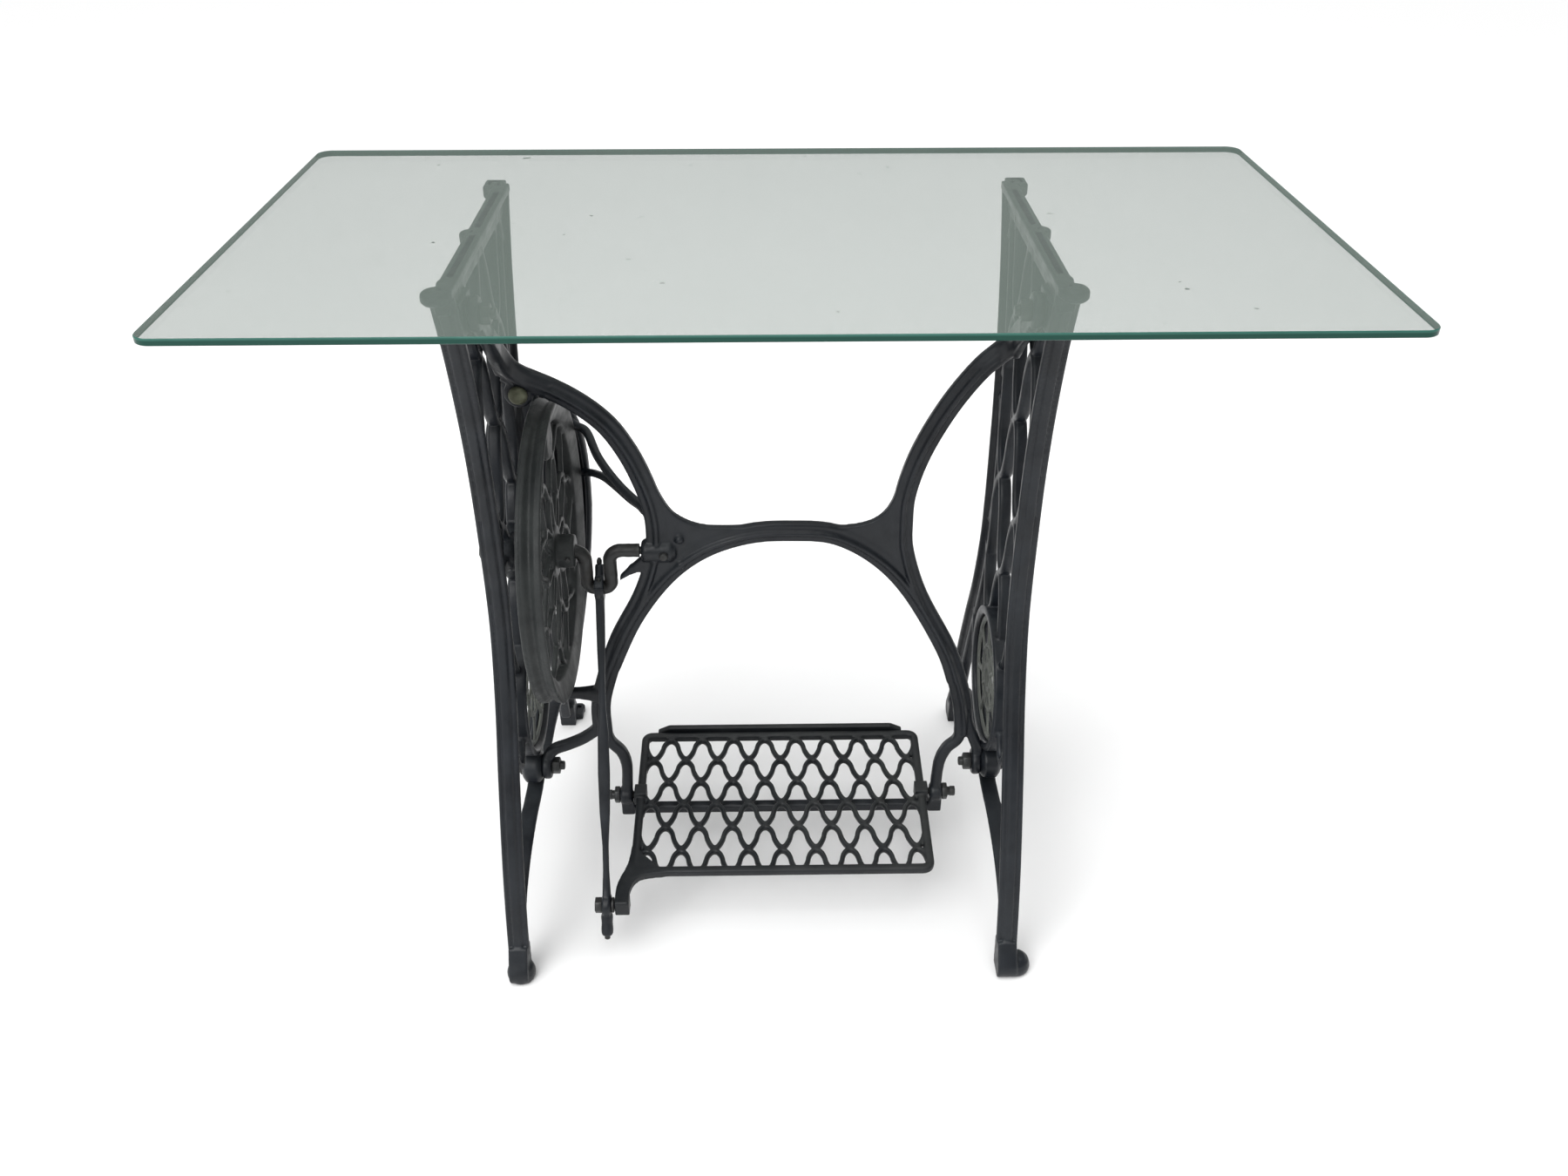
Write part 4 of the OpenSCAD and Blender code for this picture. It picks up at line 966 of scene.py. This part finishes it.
def pitman_fittings():
    """Oil nipples, the lower pin and its nut."""
    nipples = [lathe([(0, 20), (1.5, 20), (1.6, 24), (2.8, 24.4), (2.8, 28), (1.4, 30.6), (0, 31)],
                     CRANKPIN, -DOWN, 24),
               lathe([(0, 33), (3, 33), (3, 36), (2, 37), (0, 37)], pitman_at(PITMAN_LEN), DOWN,
                     24)]
    machined("pitman_oilers", nipples, *PITMAN_STEEL, ["pitman_oil_nipples"], 0.2)
    lo, hi = corners("pitman_pin")
    yz = PITMAN_PIN[1:]
    machined("pitman_stud", [disc(5, lo[0], hi[0], (0, yz[0], yz[1]), edge=0.6, n=32),
                             disc(8, hi[0] - 3.2, hi[0], (0, yz[0], yz[1]), edge=0.6, n=40)],
             *PITMAN_STEEL, ["pitman_pin"], 0.2)
    lo, hi = corners("pitman_pin_nut")
    machined("pitman_stud_nut", [hexagon(lo[0], hi[0], yz, 15)], *PITMAN_STEEL,
             ["pitman_pin_nut"], 0.9)


pitman()
pitman_cap()
pitman_fittings()

# ---- Treadle ----

TILT = math.radians(5.7)
TREADLE_X = -4.5
# Clear width inside the rails, reach in front of and behind the pivots, width of a rail
WIDE, NEAR, FAR, RAIL = 309, 108, 87, 9
PERIODS, ROWS = 8.4, 5.75


def treadle_at(u, v, w=0.0):
    c, s = math.cos(TILT), math.sin(TILT)
    return np.array([TREADLE_X + u, TREADLE[1] + v * c - w * s, TREADLE[2] + v * s + w * c])


def treadle():
    normal = treadle_at(0, 0, 1) - treadle_at(0, 0, 0)
    bar = [(-2.7, -3.2), (-1.7, -4.4), (1.7, -4.4), (2.7, -3.2), (2.7, 1), (1.6, 2.6), (0, 3.1),
           (-1.6, 2.6), (-2.7, 1)]
    rail = [(-4.5, -3.2), (-3.3, -4.5), (3.3, -4.5), (4.5, -3.2), (4.5, 3), (3.4, 4.3), (0, 4.8),
            (-3.4, 4.3), (-4.5, 3)]
    solids = []
    pitch, row_h = WIDE / PERIODS, (NEAR + FAR) / ROWS
    for row in range(math.ceil(ROWS)):
        phase = pitch / 2 if row % 2 == 0 else 0
        level = FAR - (row + 0.5) * row_h
        u = np.linspace(-WIDE / 2 - 2, WIDE / 2 + 2, 340)
        wave = np.column_stack([u, [level + (row_h / 2 - 2) * ogee(90 + 360 * (a - phase) / pitch,
                                                                   0.55, 0.9) for a in u]])
        solids.append(sweep([treadle_at(a, b) for a, b in resampled(wave, 1.6)], bar, normal))
        # Thick joints under the troughs
        for a in np.arange(phase - 5.5 * pitch, WIDE / 2, pitch):
            if abs(a) < WIDE / 2 and row < ROWS - 1:
                solids.append(lathe([(0, -4.2), (4.2, -4.2), (5, -3), (5, 0.8), (3.6, 2.4),
                                     (0, 2.6)], treadle_at(a, level - row_h / 2), normal, 20))
    # Rails with rounded corners
    hw, r = WIDE / 2 + RAIL / 2, 8
    loop = []
    back, front = FAR + RAIL / 2 - r, -NEAR - RAIL / 2 + r
    for cx, cy, start in ((hw - r, back, 0), (-hw + r, back, 90), (-hw + r, front, 180),
                          (hw - r, front, 270)):
        for k in range(7):
            a = math.radians(start + 15 * k)
            loop.append((cx + r * math.cos(a), cy + r * math.sin(a)))
    loop = np.array(loop)
    solids.append(sweep([treadle_at(a, b) for a, b in loop], rail, normal, True))
    # Arm from the near left corner to the pitman: flat, narrowing, ending in a square boss
    half = WIDE / 2
    outer = spline([(-half - RAIL, -78), (-half - 12, -104), (-half - 19, -124),
                    (-half - 22, -138), (-half - 22, -158)], 4)
    inner = spline([(-half + 30, -NEAR - RAIL), (-half + 2, -122), (-half - 7, -138),
                    (-half - 8, -158)], 4)[::-1]
    solids.append(plate(np.vstack([outer, inner]), (-4.4, 4.4), treadle_at))
    yz = PITMAN_PIN[1:]
    solids.append(block((-181.2, yz[0] - 8, yz[1] - 8), (-166, yz[0] + 8, yz[1] + 8)))
    for x0, x1 in ((-171, -157), (147, 162)):
        solids.append(block((x0, TREADLE[1] - 9, TREADLE[2] - 8),
                            (x1, TREADLE[1] + 9, TREADLE[2] + 8)))
    casting("treadle_casting", solids, "treadle", TREADLE_IRON, ["treadle_plate"],
            1.1, 4)


def heel_bar():
    """Bar behind the far rail, with sloping ends."""
    y = FAR + RAIL
    w = 145
    ends = [(-w, -4.5), (w, -4.5), (w, 3), (w - 14, 9.5), (-w + 14, 9.5), (-w, 3)]
    heel = plate(ends, (y, y + 7), lambda u, v, q: treadle_at(u, q, v))
    casting("heel_bar", [heel], "treadle", TREADLE_IRON, ["treadle_back_lip"], 1.1, 4)


treadle()
heel_bar()

# ---- Glass top ----


def glass_materials():
    s = Shader("tinted_glass")
    s.bsdf.inputs["Roughness"].default_value = 0.08
    big = s.noise(3.2, 6, 0.6)
    stain = s.ramp(s.noise(9, 5, 0.62), 0.63, 0.70)
    area = s.ramp(s.noise(2.1, 1), 0.52, 0.62)
    stain = s.math("MULTIPLY", s.math("MULTIPLY", stain, area), 0.5)
    dots = s.ramp(s.noise(95, 1, 0.3), 0.775, 0.80)
    spots = s.math("MULTIPLY", dots, s.ramp(s.noise(6, 2), 0.5, 0.6))
    tint = s.mix(s.ramp(big, 0.3, 0.7), (0.140, 0.182, 0.158), (0.160, 0.200, 0.176))
    tint = s.mix(stain, tint, (0.21, 0.25, 0.20))
    tint = s.mix(s.math("MULTIPLY", spots, 0.8), tint, (0.04, 0.06, 0.05))
    s.link(tint, s.bsdf.inputs["Base Color"])
    alpha = s.math("ADD", s.math("MULTIPLY", stain, 0.16), 0.40)
    alpha = s.math("MINIMUM", s.math("ADD", alpha, s.math("MULTIPLY", spots, 0.5)), 1.0)
    s.link(alpha, s.bsdf.inputs["Alpha"])
    b = s.bump(s.noise(14, 2), 0.02, 0.0004)
    s.link(b.outputs[0], s.bsdf.inputs["Normal"])

    e = Shader("glass_edge")
    line = e.node("ShaderNodeSeparateXYZ")
    e.link(e.coords, line.inputs[0])
    # Painted highlight: the upper part of the glass edge is drawn paler green.
    height = e.ramp(line.outputs["Z"], FRAME_TOP * MM, GLASS_HI[2] * MM)
    painted_top_highlight = e.math("MULTIPLY", e.ramp(height, 0.62, 0.80),
                  e.ramp(e.noise(30, 3), 0.2, 0.8, 0.6, 1.0))
    colour = e.mix(painted_top_highlight, (0.006, 0.052, 0.038), (0.030, 0.120, 0.095))
    e.link(colour, e.bsdf.inputs["Base Color"])
    e.bsdf.inputs["Roughness"].default_value = 0.22
    e.bsdf.inputs["Specular IOR Level"].default_value = 0.25
    return s.mat, e.mat


def glass_top():
    face_mat, edge_mat = glass_materials()
    r, w, d = 14, (GLASS_HI[0] - GLASS_LO[0]) / 2, (GLASS_HI[1] - GLASS_LO[1]) / 2
    z0, z1 = GLASS_LO[2], GLASS_HI[2]
    bevel = 0.7
    loops = []
    for inset, z in ((bevel, z0), (0, z0 + bevel), (0, z1 - bevel), (bevel, z1)):
        loop = []
        for sx, sy, start in ((1, 1, 0), (-1, 1, 90), (-1, -1, 180), (1, -1, 270)):
            for k in range(11):
                a = math.radians(start + 9 * k)
                loop.append((sx * (w - r) + (r - inset) * math.cos(a),
                             sy * (d - r) + (r - inset) * math.sin(a), z))
        loops.append(loop)
    verts = np.array([p for loop in loops for p in loop])
    solid = verts, tube_faces(len(loops[0]), len(loops))
    obj = mesh_object("glass_plate", [solid], "stand", face_mat)
    obj.data.materials.append(edge_mat)
    for p in obj.data.polygons:
        p.material_index = 0 if abs(p.normal.z) > 0.9 else 1
    shade_smooth(obj, 20)
    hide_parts("glass_top")


glass_top()

# ---- Floor, light and camera ----


# Camera place in metres, its pitch below the horizon and its turn to the right
CAMERA_AT, CAMERA_PITCH, CAMERA_YAW = (-0.0213, -1.1894, 1.11005), 0.5683, 0.0171


def floor():
    mesh = bpy.data.meshes.new("floor")
    mesh.from_pydata([(-9, -6, 0), (9, -6, 0), (9, 12, 0), (-9, 12, 0)], [], [(0, 1, 2, 3)])
    s = Shader("floor_white")
    s.bsdf.inputs["Base Color"].default_value = (0.92, 0.92, 0.92, 1)
    s.bsdf.inputs["Specular IOR Level"].default_value = 0.1
    s.link(s.ramp(s.noise(2, 2), 0.0, 1.0, 0.78, 0.84), s.bsdf.inputs["Roughness"])
    mesh.materials.append(s.mat)
    obj = bpy.data.objects.new("floor", mesh)
    bpy.context.scene.collection.objects.link(obj)


def aim(name, data, direction, place=(0, 0, 0)):
    """A lamp at place that shines along direction."""
    obj = bpy.data.objects.new(name, data)
    obj.location = place
    obj.rotation_euler = Vector(direction).to_track_quat("-Z", "Y").to_euler()
    bpy.context.scene.collection.objects.link(obj)


def softbox(name, place, target, size, power):
    lamp = bpy.data.lights.new(name, "AREA")
    lamp.shape = "RECTANGLE"
    lamp.size, lamp.size_y = size
    lamp.energy = power
    aim(name, lamp, Vector(target) - Vector(place), place)


def lights():
    world = bpy.data.worlds.new("studio")
    bpy.context.scene.world = world
    world.use_nodes = True
    back = world.node_tree.nodes["Background"]
    back.inputs["Color"].default_value = (1.0, 1.0, 1.0, 1)
    back.inputs["Strength"].default_value = 0.45
    sun = bpy.data.lights.new("window", "SUN")
    sun.energy = 2.3
    sun.angle = math.radians(60)
    aim("window", sun, (0.35, 0.45, -1.0))
    softbox("overhead_softbox", (0.3, 0.4, 2.8), (0, 0, 0.3), (2.6, 1.8), 38)
    softbox("front_softbox", (-1.4, -2.2, 1.9), (0, 0, 0.35), (1.6, 1.4), 26)


def camera():
    data = bpy.data.cameras.new("camera")
    data.sensor_width = 36
    data.lens = 31.0
    data.clip_start, data.clip_end = 0.05, 60
    obj = bpy.data.objects.new("camera", data)
    obj.location = CAMERA_AT
    obj.rotation_euler = (math.pi / 2 - CAMERA_PITCH, 0, -CAMERA_YAW)
    bpy.context.scene.collection.objects.link(obj)
    bpy.context.scene.camera = obj
    bpy.context.scene.view_settings.view_transform = "Standard"


floor()
lights()
camera()
